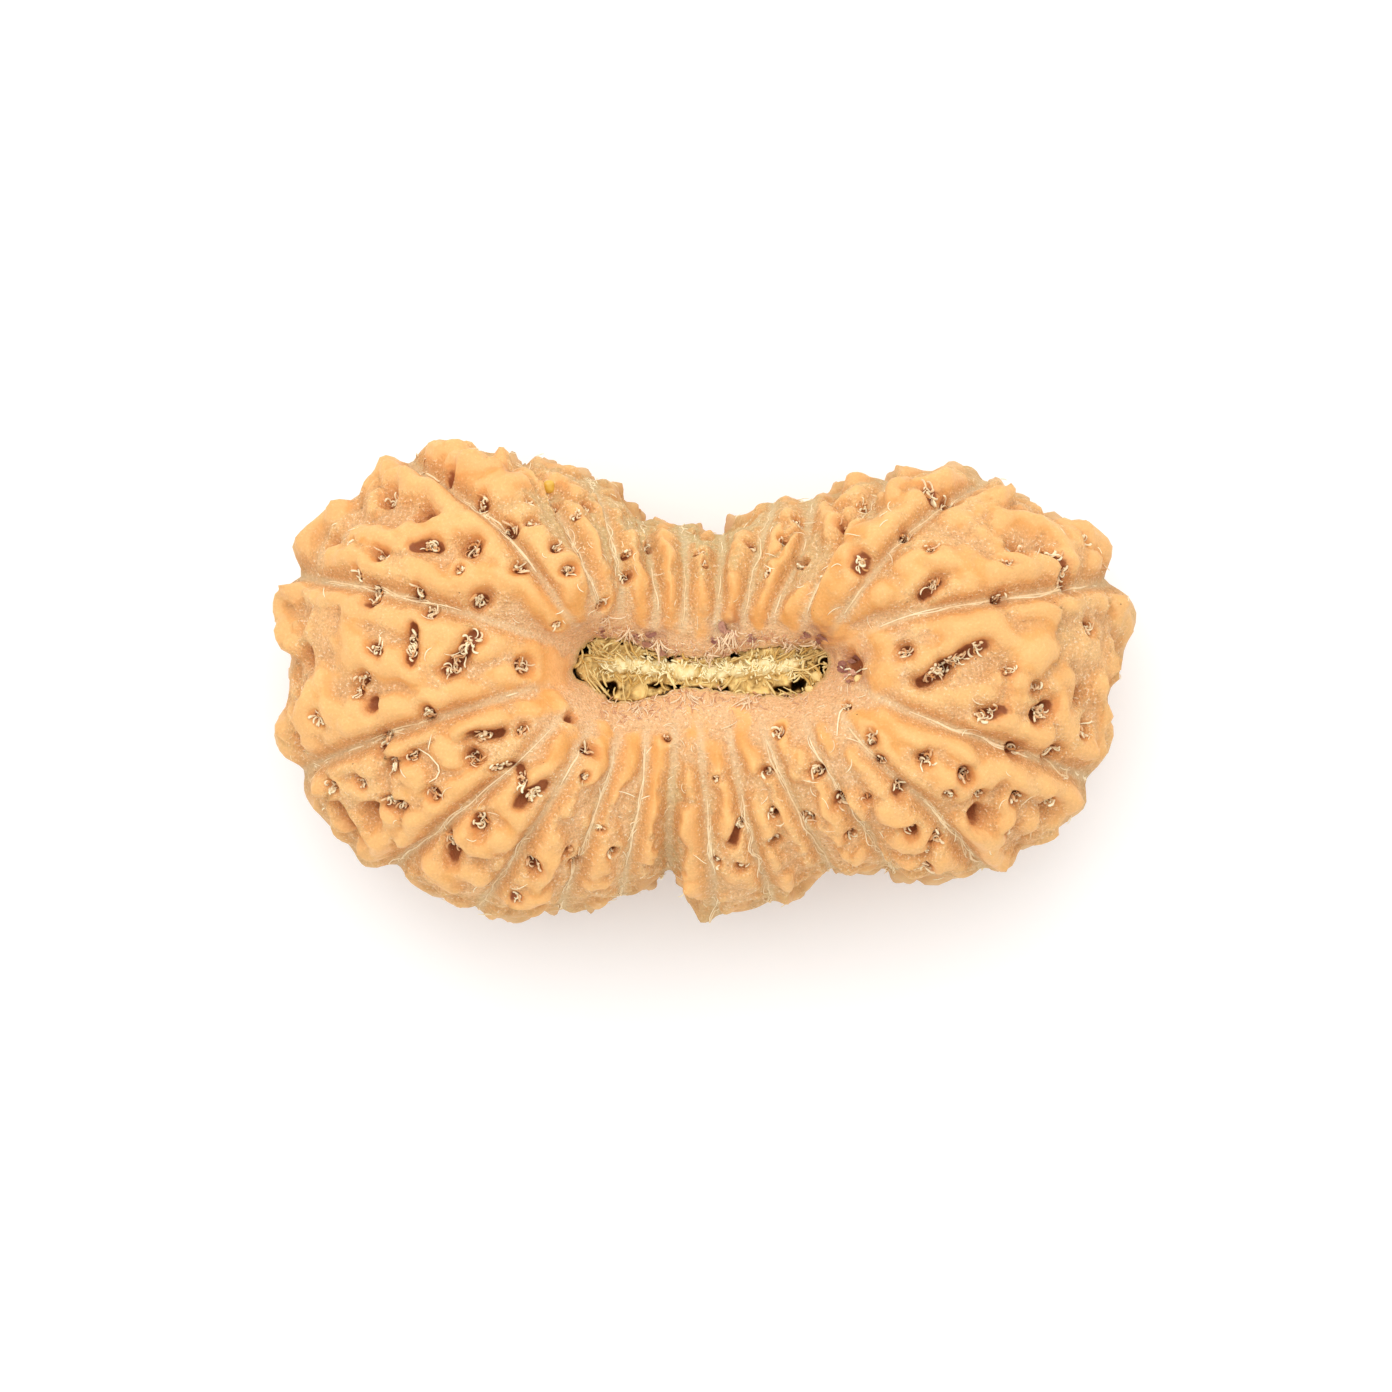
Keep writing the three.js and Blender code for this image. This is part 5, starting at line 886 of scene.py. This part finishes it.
def make_mouth_fibres(tree, gold, pink):
    """Torn fibres between the core and the slit's edge, pinkish ones on that edge, and tufts beside it."""
    rng = np.random.default_rng(8)
    up = np.array([0.0, 0.0, 1.0])
    line = np.array(CORE_LINE, float)
    across = Strands(4)
    for _ in range(SLIT_FIBRES):
        u = rng.uniform(0, FACES)
        wall = np.array([float(v[0]) for v in plan(np.array([u]), np.array([0.0]))])
        x = np.clip(wall[0] + rng.normal() * 0.3, line[0, 0], line[-1, 0])
        middle = np.array([x, np.interp(x, line[:, 0], line[:, 1])])
        out = wall - middle
        out /= max(np.linalg.norm(out), 1e-6)
        from_core = rng.uniform() < 0.45
        at = middle + out * CORE_WIDE * 0.9 if from_core else wall + out * rng.uniform(-0.1, 0.15)
        heading = np.append(out if from_core else -out, 0) + tangent(up, rng) * rng.uniform(0.3, 1.8)
        heading /= np.linalg.norm(heading)
        place = np.array([at[0], at[1], LIP - rng.uniform(-0.1, 0.4)])
        length = 0.15 + 1.0 * rng.uniform() ** 2.5
        points = curl(place, up, heading, length, rng.normal() * 1.1, rng.uniform(-0.2, 0.3), 6)
        across.add(points, rng.uniform(0.02, 0.05) + 0.03 * length, rng.uniform(0.1, 1))
    for route in SLIT_STRANDS:
        for _ in range(2):
            route_xy = np.array(route, float) + rng.normal(size=2) * 0.09
            t = np.linspace(0, len(route) - 1, 5 * len(route))
            xy = [np.interp(t, np.arange(len(route)), route_xy[:, axis]) for axis in (0, 1)]
            z = LIP + 0.05 + 0.12 * rng.normal() + 0.12 * np.sin(2 * t + rng.uniform(0, 6))
            across.add(np.column_stack([*xy, z]), rng.uniform(0.03, 0.07), rng.uniform(0.2, 0.9))
    across.finish("slit_fibres", gold)
    edge = Strands(4)
    u, s = rng.uniform(0, FACES, EDGE_FIBRES), rng.uniform(0.0, 0.035, EDGE_FIBRES)
    between_ends = np.abs(body(u, s)[:, 0]) < 4.8 + 0.5 * rng.normal(size=EDGE_FIBRES)
    u, s = u[between_ends], s[between_ends]
    p, h, _ = relief(u, s)
    normals = outward(u, s)
    for place, normal in zip(p + normals * h[:, None], normals):
        points = curl(place, normal, tangent(normal, rng), rng.uniform(0.12, 0.45), rng.uniform(-2.5, 2.5), 0.35, 6)
        edge.add(points, rng.uniform(0.02, 0.045), rng.uniform(0, 1))
    for x, y, lean in SLIT_TUFTS:
        place, normal = drop(tree, x, y)
        side = np.cross(normal, (1.0, 0.0, 0.0))
        for _ in range(TUFT_FIBRES):
            heading = -side + (lean + rng.normal() * 0.35) * np.array([1.0, 0.0, 0.0])
            heading /= np.linalg.norm(heading)
            start = place + 0.12 * rng.normal(size=3) + 0.05 * normal
            points = curl(start, normal, heading, rng.uniform(0.3, 0.95), rng.normal() * 0.8, 0.3, 6)
            edge.add(points, rng.uniform(0.025, 0.05), rng.uniform(0.7, 1))
    edge.finish("edge_fibres", pink)


def make_hairs(tree, material):
    """Loose pale hairs on the stone: a few long ones along listed routes, and short ones all over."""
    strands = Strands(4)
    rng = np.random.default_rng(9)
    for route in LONG_HAIRS:
        route = np.array(route, float)
        t = np.linspace(0, len(route) - 1, 6 * len(route))
        xy = np.column_stack([np.interp(t, np.arange(len(route)), route[:, axis]) for axis in (0, 1)])
        ground = np.array([drop(tree, x, y)[0] for x, y in xy])
        ground[1:-1, 2] = np.maximum(ground[1:-1, 2], (ground[:-2, 2] + ground[2:, 2]) / 2)
        strands.add(ground + (0, 0, 0.08), 0.045, 0.9)
    u, s = rng.uniform(0, FACES, SHORT_HAIRS), rng.uniform(0.02, 0.6, SHORT_HAIRS)
    p, h, _ = relief(u, s)
    normals = outward(u, s)
    for place, normal in zip(p + normals * h[:, None], normals):
        heading = tangent(normal, rng)
        points = curl(place, normal, heading, rng.uniform(0.3, 0.9), rng.uniform(-2, 2), 0.3)
        strands.add(points, rng.uniform(0.016, 0.03), rng.uniform(0.5, 1))
    strands.finish("loose_hairs", material)


def make_flakes(tree, material):
    """Thin purple-brown scales of dried skin beside the slit."""
    rng = np.random.default_rng(13)
    vertices, faces, tints = [], [], []
    for x, y, size in FLAKES:
        for _ in range(5):
            px, py = x + rng.normal() * size * 0.5, y + rng.normal() * size * 0.4
            place, normal = drop(tree, px, py)
            side = tangent(normal, rng)
            other = np.cross(normal, side)
            tilt = rng.normal(size=2) * 0.35
            first = len(vertices)
            count = int(rng.integers(6, 10))
            radius = size * rng.uniform(0.35, 0.8)
            vertices.append(place + normal * 0.08)
            for i in range(count):
                turn = 2 * math.pi * i / count
                a, b = radius * math.cos(turn), radius * math.sin(turn) * 0.6
                ragged = rng.uniform(0.6, 1.15)
                lift = 0.02 + abs(tilt[0] * a + tilt[1] * b) + 0.05 * rng.uniform()
                vertices.append(place + (a * side + b * other) * ragged + normal * lift)
            for i in range(count):
                faces.append((first, first + 1 + i, first + 1 + (i + 1) % count))
            tints += [rng.uniform()] * (count + 1)
    piece = add_mesh("skin_flakes", vertices, faces, material, {"tint": tints})


def make_lump(name, tree, spot, material, flat=0.75):
    """A small rounded lump, a little uneven, that sits on the stone or in the slit."""
    x, y, radius = spot
    place = np.array([x, y, drop(tree, x, y)[0][2]])
    rows, columns = 14, 24
    fall = np.repeat(np.linspace(0.02, math.pi * 0.98, rows), columns)
    turn = np.tile(2 * math.pi * np.arange(columns) / columns, rows)
    way = np.column_stack([np.sin(fall) * np.cos(turn), np.sin(fall) * np.sin(turn), flat * np.cos(fall)])
    uneven = 1 + 0.12 * waves(way * radius + (x, y, 0), 1.6 * radius, 71)
    vertices = place + (0, 0, radius * flat * 0.35) + way * (radius * uneven)[:, None]
    i, j = (g.ravel() for g in np.meshgrid(np.arange(rows - 1), np.arange(columns), indexing="ij"))
    nxt = (j + 1) % columns
    corners = [i * columns + j, (i + 1) * columns + j, (i + 1) * columns + nxt, i * columns + nxt]
    faces = np.column_stack(corners).tolist()
    faces += [tuple(range(columns)), tuple(range(rows * columns - 1, (rows - 1) * columns - 1, -1))]
    piece = add_mesh(name, vertices, faces, material, {"tint": np.full(rows * columns, 0.6)})


# Grooves whose thread hardly shows, counted clockwise from the left end's upper one
FAINT_GROOVES = (4, 5, 6, 7, 8, 18)
THREAD_WANDER = (0.13, 0.26)
THREAD_RADIUS = (0.05, 0.03)
STRONG_GROOVES, STRONG_THREAD = (0, 1, 11, 12, 13, 23), 1.45
THREAD_LIFT = 0.02
FRAYS = 10
SLIT_FIBRES = 210
SLIT_STRANDS = (
    ((4.3, 1.05), (5.0, 1.25), (5.6, 1.5), (5.95, 1.65)), ((4.2, 0.9), (4.9, 0.95), (5.4, 1.2)),
    ((4.3, 0.7), (4.9, 0.6), (5.2, 0.35)), ((4.4, 0.5), (4.7, 0.2), (4.85, -0.1)),
    ((-5.9, 1.0), (-5.7, 0.2), (-5.1, -0.5)), ((-5.6, 0.6), (-5.2, 0.0), (-4.7, -0.6)),
    ((-4.0, 0.4), (-3.95, -0.3), (-3.8, -0.9)), ((3.4, -0.1), (3.8, -0.3), (4.1, -0.45)),
    ((-5.4, 1.9), (-4.9, 1.5), (-4.3, 1.25)), ((-5.7, 1.3), (-5.1, 1.2), (-4.5, 1.1)),
    ((3.2, 1.2), (3.8, 1.5), (4.2, 1.9)), ((-3.3, 1.2), (-3.6, 1.6), (-3.8, 2.2)),
)
EDGE_FIBRES = 650
SHORT_HAIRS = 320
BARE_PITS = ((-19.4, 1.5), (6.9, 0.9), (-13.7, 8.2), (-17.7, -6.3), (-16.0, -6.1))
# Deep gaps in the slit's pulp: x, y, reach along and reach across; the pulp in them is painted dark as shade.
PULP_GAPS = (
    (-5.9, 1.9, 0.5, 0.5), (-4.7, -0.15, 0.6, 0.4), (-2.65, 1.36, 0.4, 0.17), (-1.8, 1.3, 0.25, 0.15),
    (-2.4, 0.0, 0.5, 0.15), (-1.6, -0.02, 0.5, 0.15), (0.8, -0.2, 0.4, 0.15), (1.3, 1.4, 0.25, 0.15),
    (3.6, -0.2, 0.5, 0.16), (4.35, 0.1, 0.4, 0.45), (5.6, 0.95, 0.55, 0.5), (-4.1, 2.2, 0.15, 0.4),
)
LONG_HAIRS = (
    ((6.8, -0.95), (6.5, -1.05), (6.3, -1.3), (6.2, -1.8), (6.15, -2.4)),
    ((-13.7, -3.0), (-13.2, -3.3), (-12.75, -3.8), (-12.7, -4.1), (-12.85, -4.4), (-13.2, -4.6)),
    ((-9.2, 5.5), (-8.9, 5.6), (-8.6, 5.8)),
    ((10.25, -3.4), (10.1, -3.8), (10.2, -4.1)),
    ((6.3, 0.95), (6.55, 0.75), (6.8, 0.8), (7.05, 0.6)),
    ((6.5, 0.25), (6.75, 0.5), (6.95, 0.55)),
    ((7.1, 0.6), (7.35, 0.75), (7.6, 0.8)),
)
FLAKES = (
    (-2.6, 2.25, 0.5), (-3.4, 2.3, 0.3), (1.1, 2.4, 0.5), (0.3, 2.1, 0.3), (5.3, 2.3, 0.45), (4.6, 2.4, 0.3),
    (6.6, 1.1, 0.5), (7.0, 0.5, 0.4), (-5.0, 2.6, 0.3), (2.2, 2.2, 0.3),
)
RESIN = (-7.6, 9.5, 0.32)
LUMP_SPOTS = ((5.2, 0.43, 0.24), (4.9, -0.17, 0.2), (7.2, 0.3, 0.22))
CORE_CRUMBS = 420
GAP_DEPTH = 3.2
PULP_EDGE = (0.97, 1.12)  # where the pulp goes under the lip, as shares of the way to the wall
SLIT_TUFTS = (
    (-3.75, 2.75, -0.3), (-2.3, 2.1, 0.2), (0.05, 1.6, 0.2), (0.65, 2.3, 0.0), (1.25, 2.6, -0.2), (-4.8, 3.3, 0.3),
    (3.9, 2.1, 0.3), (5.2, 2.1, 0.0), (-3.3, -1.1, 0.4), (1.9, -0.7, -0.2), (-1.0, -0.5, 0.3),
)
TUFT_FIBRES = 14


# Patches of colour, seen from above: x, y, radius, strength
GREEN_PATCHES = (
    (-2, 6.5, 3.0, 0.8), (1, 6.5, 3.0, 0.7), (4, 6, 2.5, 0.5), (-5, 7, 2.5, 0.5), (-1.6, -5, 1.2, 0.9),
    (-1.7, -8, 1.3, 0.8), (16.8, 2.5, 1.2, 0.5), (3, -5.5, 2, 0.3), (8, 6, 2.5, 0.3),
    (-12, 10.5, 2, 0.5), (-8, 9, 2.5, 0.7), (7.5, 9, 2.5, 0.5), (12, 9.5, 2, 0.3), (-17, 5.5, 1.5, 0.3),
)
PAINTED_SHADE_HEIGHTS, PAINTED_SHADE_SHARE = (8, 15), 0.4  # heights in mm between which painted shade makes the skin greyer downwards, and by how much
SKIN_TONE = 0.95
PLUM_PATCHES = (
    (-2.6, 2.3, 0.8, 0.8), (1.1, 2.6, 0.9, 0.9), (5.3, 2.3, 0.8, 0.9), (6.9, 0.9, 1.0, 1.0), (-5.8, 2.6, 0.6, 0.5),
)


class Nodes:
    """Short calls for building a material's node tree."""

    def __init__(self, name):
        self.material = bpy.data.materials.new(name)
        self.material.use_nodes = True
        self.tree = self.material.node_tree
        self.tree.nodes.clear()
        self.shader = self.add("ShaderNodeBsdfPrincipled")
        output = self.add("ShaderNodeOutputMaterial")
        self.tree.links.new(self.shader.outputs[0], output.inputs[0])

    def add(self, kind, **settings):
        node = self.tree.nodes.new(kind)
        for key, value in settings.items():
            setattr(node, key, value)
        return node

    def put(self, socket, value):
        if isinstance(value, bpy.types.NodeSocket):
            self.tree.links.new(value, socket)
        else:
            socket.default_value = value

    def math(self, operation, a, b=0.0, clamp=False):
        node = self.add("ShaderNodeMath", operation=operation, use_clamp=clamp)
        self.put(node.inputs[0], a)
        self.put(node.inputs[1], b)
        return node.outputs[0]

    def ramp(self, value, low, high, start=0.0, end=1.0):
        """A smooth step: start where value is low, end where it is high."""
        node = self.add("ShaderNodeMapRange", interpolation_type="SMOOTHSTEP")
        for socket, number in zip(node.inputs, (value, low, high, start, end)):
            self.put(socket, number)
        return node.outputs[0]

    def mix(self, share, a, b):
        node = self.add("ShaderNodeMix", data_type="RGBA")
        self.put(node.inputs[0], share)
        self.put(node.inputs[6], a)
        self.put(node.inputs[7], b)
        return node.outputs[2]

    def tone(self, base, factor):
        """A colour made lighter or darker by a factor."""
        node = self.add("ShaderNodeHueSaturation")
        self.put(node.inputs["Value"], factor)
        self.put(node.inputs["Color"], base)
        return node.outputs[0]

    def dots(self, pitch, radius):
        """1 in small round dots, about pitch millimetres apart."""
        node = self.add("ShaderNodeTexVoronoi")
        self.put(node.inputs["Vector"], self.place())
        node.inputs["Scale"].default_value = 1 / (pitch * MM)
        return self.ramp(node.outputs["Distance"], radius / pitch, 0.6 * radius / pitch)

    def field(self, name):
        return self.add("ShaderNodeAttribute", attribute_name=name).outputs["Fac"]

    def place(self):
        return self.add("ShaderNodeTexCoord").outputs["Object"]

    def height(self):
        split = self.add("ShaderNodeSeparateXYZ")
        self.put(split.inputs[0], self.place())
        return split.outputs["Z"]

    def noise(self, size, detail=3.0, roughness=0.55, stretch=None):
        """Noise with features about size millimetres across."""
        at = self.place()
        if stretch:
            squeeze = self.add("ShaderNodeMapping")
            squeeze.inputs["Scale"].default_value = stretch
            self.put(squeeze.inputs["Vector"], at)
            at = squeeze.outputs[0]
        node = self.add("ShaderNodeTexNoise")
        self.put(node.inputs["Vector"], at)
        node.inputs["Scale"].default_value = 1 / (size * MM)
        node.inputs["Detail"].default_value = detail
        node.inputs["Roughness"].default_value = roughness
        return node.outputs["Fac"]

    def bump(self, height, strength, distance_mm, normal=None):
        node = self.add("ShaderNodeBump")
        node.inputs["Strength"].default_value = strength
        node.inputs["Distance"].default_value = distance_mm * MM
        self.put(node.inputs["Height"], height)
        if normal is not None:
            self.put(node.inputs["Normal"], normal)
        return node.outputs[0]


def colour(red, green, blue):
    """A node colour from the red, green and blue that a screen shows, each out of 255."""
    parts = []
    for value in (red, green, blue):
        share = value / 255
        parts.append(share / 12.92 if share <= 0.04045 else ((share + 0.055) / 1.055) ** 2.4)
    return (*parts, 1.0)


def stone_material():
    """Waxy crests over rough, paler hollows, dark pits with a reddish edge, a bruise round the mouth, and painted
    shade and light.
    """
    m = Nodes("stone_skin")
    crest, pit, groove, mouth = (m.field(name) for name in ("crest", "pit", "groove", "mouth"))
    broad, fine, grain = m.noise(2.6, 2), m.noise(0.55, 3), m.noise(0.13, 2, 0.7)

    wavy_crest = m.math("ADD", crest, m.math("MULTIPLY", m.math("SUBTRACT", fine, 0.5), 0.9))
    on_crest = m.ramp(wavy_crest, 0.32, 0.92)
    wax = m.mix(m.ramp(broad, 0.35, 0.65), colour(230, 162, 86), colour(237, 175, 101))
    hollow = m.mix(m.ramp(fine, 0.35, 0.65), colour(230, 176, 118), colour(241, 192, 138))
    green = m.math("MULTIPLY", m.field("green"), 0.75, clamp=True)
    hollow = m.mix(green, hollow, colour(204, 178, 124))
    deep_groove = m.math("MULTIPLY", m.ramp(groove, 0.7, 0.15), m.ramp(mouth, 0.1, 0.4))
    hollow = m.mix(m.math("MULTIPLY", deep_groove, 0.4), hollow, colour(212, 182, 128))
    near_mouth = m.math("MULTIPLY", m.ramp(mouth, 0.4, 0.06), m.ramp(on_crest, 1.0, 0.2))
    lip_crest_tone_and_light = m.math("MULTIPLY", m.ramp(mouth, 0.12, 0.03), on_crest)
    hollow = m.mix(m.math("MULTIPLY", near_mouth, 0.6), hollow, colour(232, 186, 138))
    skin = m.mix(on_crest, hollow, wax)
    # Crests by the mouth made paler: partly the lip's own paler tone, partly painted light.
    skin = m.mix(m.math("MULTIPLY", lip_crest_tone_and_light, 0.55), skin, colour(244, 192, 138))
    # Painted shade: the steep flanks of the relief are made a darker, deeper orange.
    painted_flank_shade = m.math("MULTIPLY", m.ramp(m.field("slope"), 0.02, 0.35), 0.65)
    skin = m.mix(painted_flank_shade, skin, colour(232, 164, 94))
    # Painted shade in the dips of the relief, and painted highlight on its bumps.
    skin = m.mix(m.math("MULTIPLY", m.ramp(m.field("dip"), 0.02, 0.3), 0.4), skin, colour(214, 154, 98))
    skin = m.mix(m.math("MULTIPLY", m.ramp(m.field("dip"), -0.03, -0.25), 0.4), skin, colour(252, 206, 140))

    in_hollow = m.math("SUBTRACT", 1.0, on_crest)
    grain_tone = m.math("MULTIPLY", m.math("SUBTRACT", grain, 0.5), m.ramp(on_crest, 0.0, 1.0, 0.9, 0.35))
    # Painted light: the skin is made lighter close to the mouth.
    painted_light_by_mouth = m.ramp(mouth, 0.2, 0.02, 0.0, 0.12)
    skin = m.tone(skin, m.math("ADD", m.math("ADD", 1.0, grain_tone), painted_light_by_mouth))
    speck = m.math("MULTIPLY", m.ramp(grain, 0.58, 0.68), m.ramp(on_crest, 0.0, 1.0, 0.85, 0.12))
    skin = m.mix(speck, skin, colour(252, 228, 190))
    dark_speck = m.math("MULTIPLY", m.ramp(m.noise(0.2, 3, 0.7), 0.42, 0.34), m.ramp(on_crest, 0.0, 0.8, 0.35, 0.0))
    skin = m.mix(dark_speck, skin, colour(178, 124, 84))
    skin = m.mix(m.math("MULTIPLY", m.dots(1.3, 0.055), 0.7), skin, colour(120, 74, 44))

    plum = m.math("MULTIPLY", m.field("plum"), m.ramp(fine, 0.32, 0.7), clamp=True)
    skin = m.mix(m.math("MULTIPLY", plum, 0.8), skin, colour(158, 96, 80))
    seam = m.math("MULTIPLY", m.ramp(groove, 0.3, 0.08), m.ramp(mouth, 0.05, 0.15))
    skin = m.mix(m.math("MULTIPLY", seam, 0.35), skin, colour(236, 212, 168))

    ragged_pit = m.math("ADD", pit, m.math("MULTIPLY", m.math("SUBTRACT", fine, 0.5), 0.7))
    skin = m.mix(m.math("MULTIPLY", m.ramp(ragged_pit, 1.4, 0.9), 0.35), skin, colour(222, 146, 88))
    # Inside a pit: its reddish-brown wall, partly painted shade that makes the pit look deeper.
    skin = m.mix(m.ramp(ragged_pit, 0.95, 0.6), skin, colour(156, 88, 48))
    # Painted shade: the skin gets darker and greyer lower down the bead.
    painted_low_shade = m.math("MULTIPLY", m.ramp(m.height(), PAINTED_SHADE_HEIGHTS[1] * MM, PAINTED_SHADE_HEIGHTS[0] * MM), PAINTED_SHADE_SHARE)
    skin = m.mix(painted_low_shade, skin, colour(184, 150, 98))
    skin = m.tone(skin, SKIN_TONE)
    in_hole = m.ramp(mouth, 0.012, 0.004)
    # Painted shade: down the hole the wall's pale fibrous colour goes darker with depth.
    from_middle = m.math("ABSOLUTE", m.math("SUBTRACT", m.height(), FOOT * MM))
    sunk = m.ramp(from_middle, (LIP - 0.15) * MM, (LIP - 1.2) * MM)
    hole_skin = m.mix(sunk, m.mix(fine, colour(214, 170, 112), colour(240, 206, 150)), colour(70, 50, 20))
    skin = m.mix(in_hole, skin, hole_skin)

    m.put(m.shader.inputs["Base Color"], skin)
    m.put(m.shader.inputs["Roughness"], m.ramp(on_crest, 0.0, 1.0, 0.85, 0.5))
    m.shader.inputs["Specular IOR Level"].default_value = 0.3
    m.shader.inputs["Subsurface Weight"].default_value = 0.1
    m.shader.inputs["Subsurface Radius"].default_value = (1.0, 0.5, 0.25)
    m.shader.inputs["Subsurface Scale"].default_value = 0.3 * MM
    rough = m.math("MULTIPLY", grain, m.math("ADD", 0.2, m.math("MULTIPLY", in_hollow, 0.8)))
    normal = m.bump(rough, 1.0, 0.12)
    normal = m.bump(m.noise(0.4, 2), 0.3, 0.1, normal)
    m.put(m.shader.inputs["Normal"], normal)
    return m.material


def fibre_material(name, dark, pale, size=0.2):
    """Dry fibre: each strand's own tint between dark and pale, on the pulp a painted shade, with a fine mottling."""
    m = Nodes(name)
    tint = m.math("ADD", m.field("tint"), m.math("MULTIPLY", m.math("SUBTRACT", m.noise(size), 0.5), 0.8))
    m.put(m.shader.inputs["Base Color"], m.mix(m.ramp(tint, 0.0, 1.0), dark, pale))
    m.shader.inputs["Roughness"].default_value = 0.75
    m.shader.inputs["Specular IOR Level"].default_value = 0.25
    m.put(m.shader.inputs["Normal"], m.bump(m.noise(size * 0.5), 0.5, 0.05))
    return m.material


def resin_material():
    m = Nodes("dried_resin")
    m.put(m.shader.inputs["Base Color"], m.mix(m.noise(0.4), colour(206, 150, 40), colour(238, 198, 84)))
    m.shader.inputs["Roughness"].default_value = 0.3
    m.put(m.shader.inputs["Normal"], m.bump(m.noise(0.3), 0.2, 0.05))
    return m.material


def make_floor():
    bpy.ops.mesh.primitive_plane_add(size=1.2, location=(0, 0, 0))
    floor = bpy.context.object
    floor.name = "floor"
    m = Nodes("pale_floor")
    m.put(m.shader.inputs["Base Color"], m.mix(m.noise(40, 2), (0.9, 0.9, 0.9, 1), (0.94, 0.94, 0.94, 1)))
    m.shader.inputs["Roughness"].default_value = 0.9
    m.shader.inputs["Specular IOR Level"].default_value = 0.1
    m.shader.inputs["Emission Color"].default_value = (1, 1, 1, 1)
    m.shader.inputs["Emission Strength"].default_value = FLOOR_GLOW
    floor.data.materials.append(m.material)


def add_lamp(name, place, size, watts):
    """A square area lamp aimed at the bead."""
    lamp = bpy.data.lights.new(name, "AREA")
    lamp.size = size
    lamp.energy = watts
    holder = bpy.data.objects.new(name, lamp)
    holder.location = place
    aim = -holder.location
    holder.rotation_euler = aim.to_track_quat("-Z", "Y").to_euler()
    bpy.context.collection.objects.link(holder)


# Light and camera, in metres
SKY_STRENGTH = 0.95
FLOOR_GLOW = 0.12  # weakens the shadow on the floor
KEY_PLACE, KEY_SIZE, KEY_WATTS = (-0.06, 0.24, 0.52), 0.5, 1.7
PHOTO_PIXELS = 1392
PIXELS_PER_MM = 20.6
OUTLINE_PIXEL = (707.0, 685.5)  # middle of the bead's outline in the photograph
CAMERA_HEIGHT = 0.4  # over the middle of the bead
SENSOR = 36.0


def light_the_scene():
    world = bpy.data.worlds.new("soft_sky")
    world.use_nodes = True
    world.node_tree.nodes["Background"].inputs[0].default_value = (1, 1, 1, 1)
    world.node_tree.nodes["Background"].inputs[1].default_value = SKY_STRENGTH
    bpy.context.scene.world = world
    add_lamp("key_light", KEY_PLACE, KEY_SIZE, KEY_WATTS)


def make_camera():
    camera = bpy.data.cameras.new("camera")
    camera.sensor_width = SENSOR
    camera.lens = SENSOR * CAMERA_HEIGHT / (PHOTO_PIXELS / PIXELS_PER_MM * MM)
    camera.clip_start, camera.clip_end = 0.01, 5
    holder = bpy.data.objects.new("camera", camera)
    x = (PHOTO_PIXELS / 2 - OUTLINE_PIXEL[0]) / PIXELS_PER_MM - PLAN_CENTRE[0]
    y = -(PHOTO_PIXELS / 2 - OUTLINE_PIXEL[1]) / PIXELS_PER_MM - PLAN_CENTRE[1]
    holder.location = (x * MM, y * MM, FOOT * MM + CAMERA_HEIGHT)
    bpy.context.collection.objects.link(holder)
    bpy.context.scene.camera = holder


bpy.context.scene.view_settings.view_transform = "Standard"
make_camera()
light_the_scene()
make_floor()
stone_tree = make_stone(stone_material())
fibre = fibre_material("dry_fibre", colour(222, 160, 98), colour(255, 244, 206))
make_threads(fibre_material("pale_thread", colour(228, 190, 136), colour(252, 232, 192)))
make_pit_fibres(stone_tree, fibre)
make_core(fibre_material("core_leaf", colour(234, 202, 128), colour(255, 242, 194), 0.3))
make_pulp(fibre_material("slit_pulp", colour(146, 104, 46), colour(254, 220, 144), 0.25))
gold_fibre = fibre_material("slit_fibre", colour(208, 164, 84), colour(252, 230, 164))
make_mouth_fibres(stone_tree, gold_fibre, fibre_material("edge_fibre", colour(210, 152, 112), colour(250, 224, 186)))
make_hairs(stone_tree, fibre)
make_flakes(stone_tree, fibre_material("dried_skin", colour(138, 84, 72), colour(212, 160, 132), 0.12))
make_lump("resin_drop", stone_tree, RESIN, resin_material())
for number, spot in enumerate(LUMP_SPOTS):
    make_lump(f"fibre_lump_{number}", stone_tree, spot, gold_fibre)
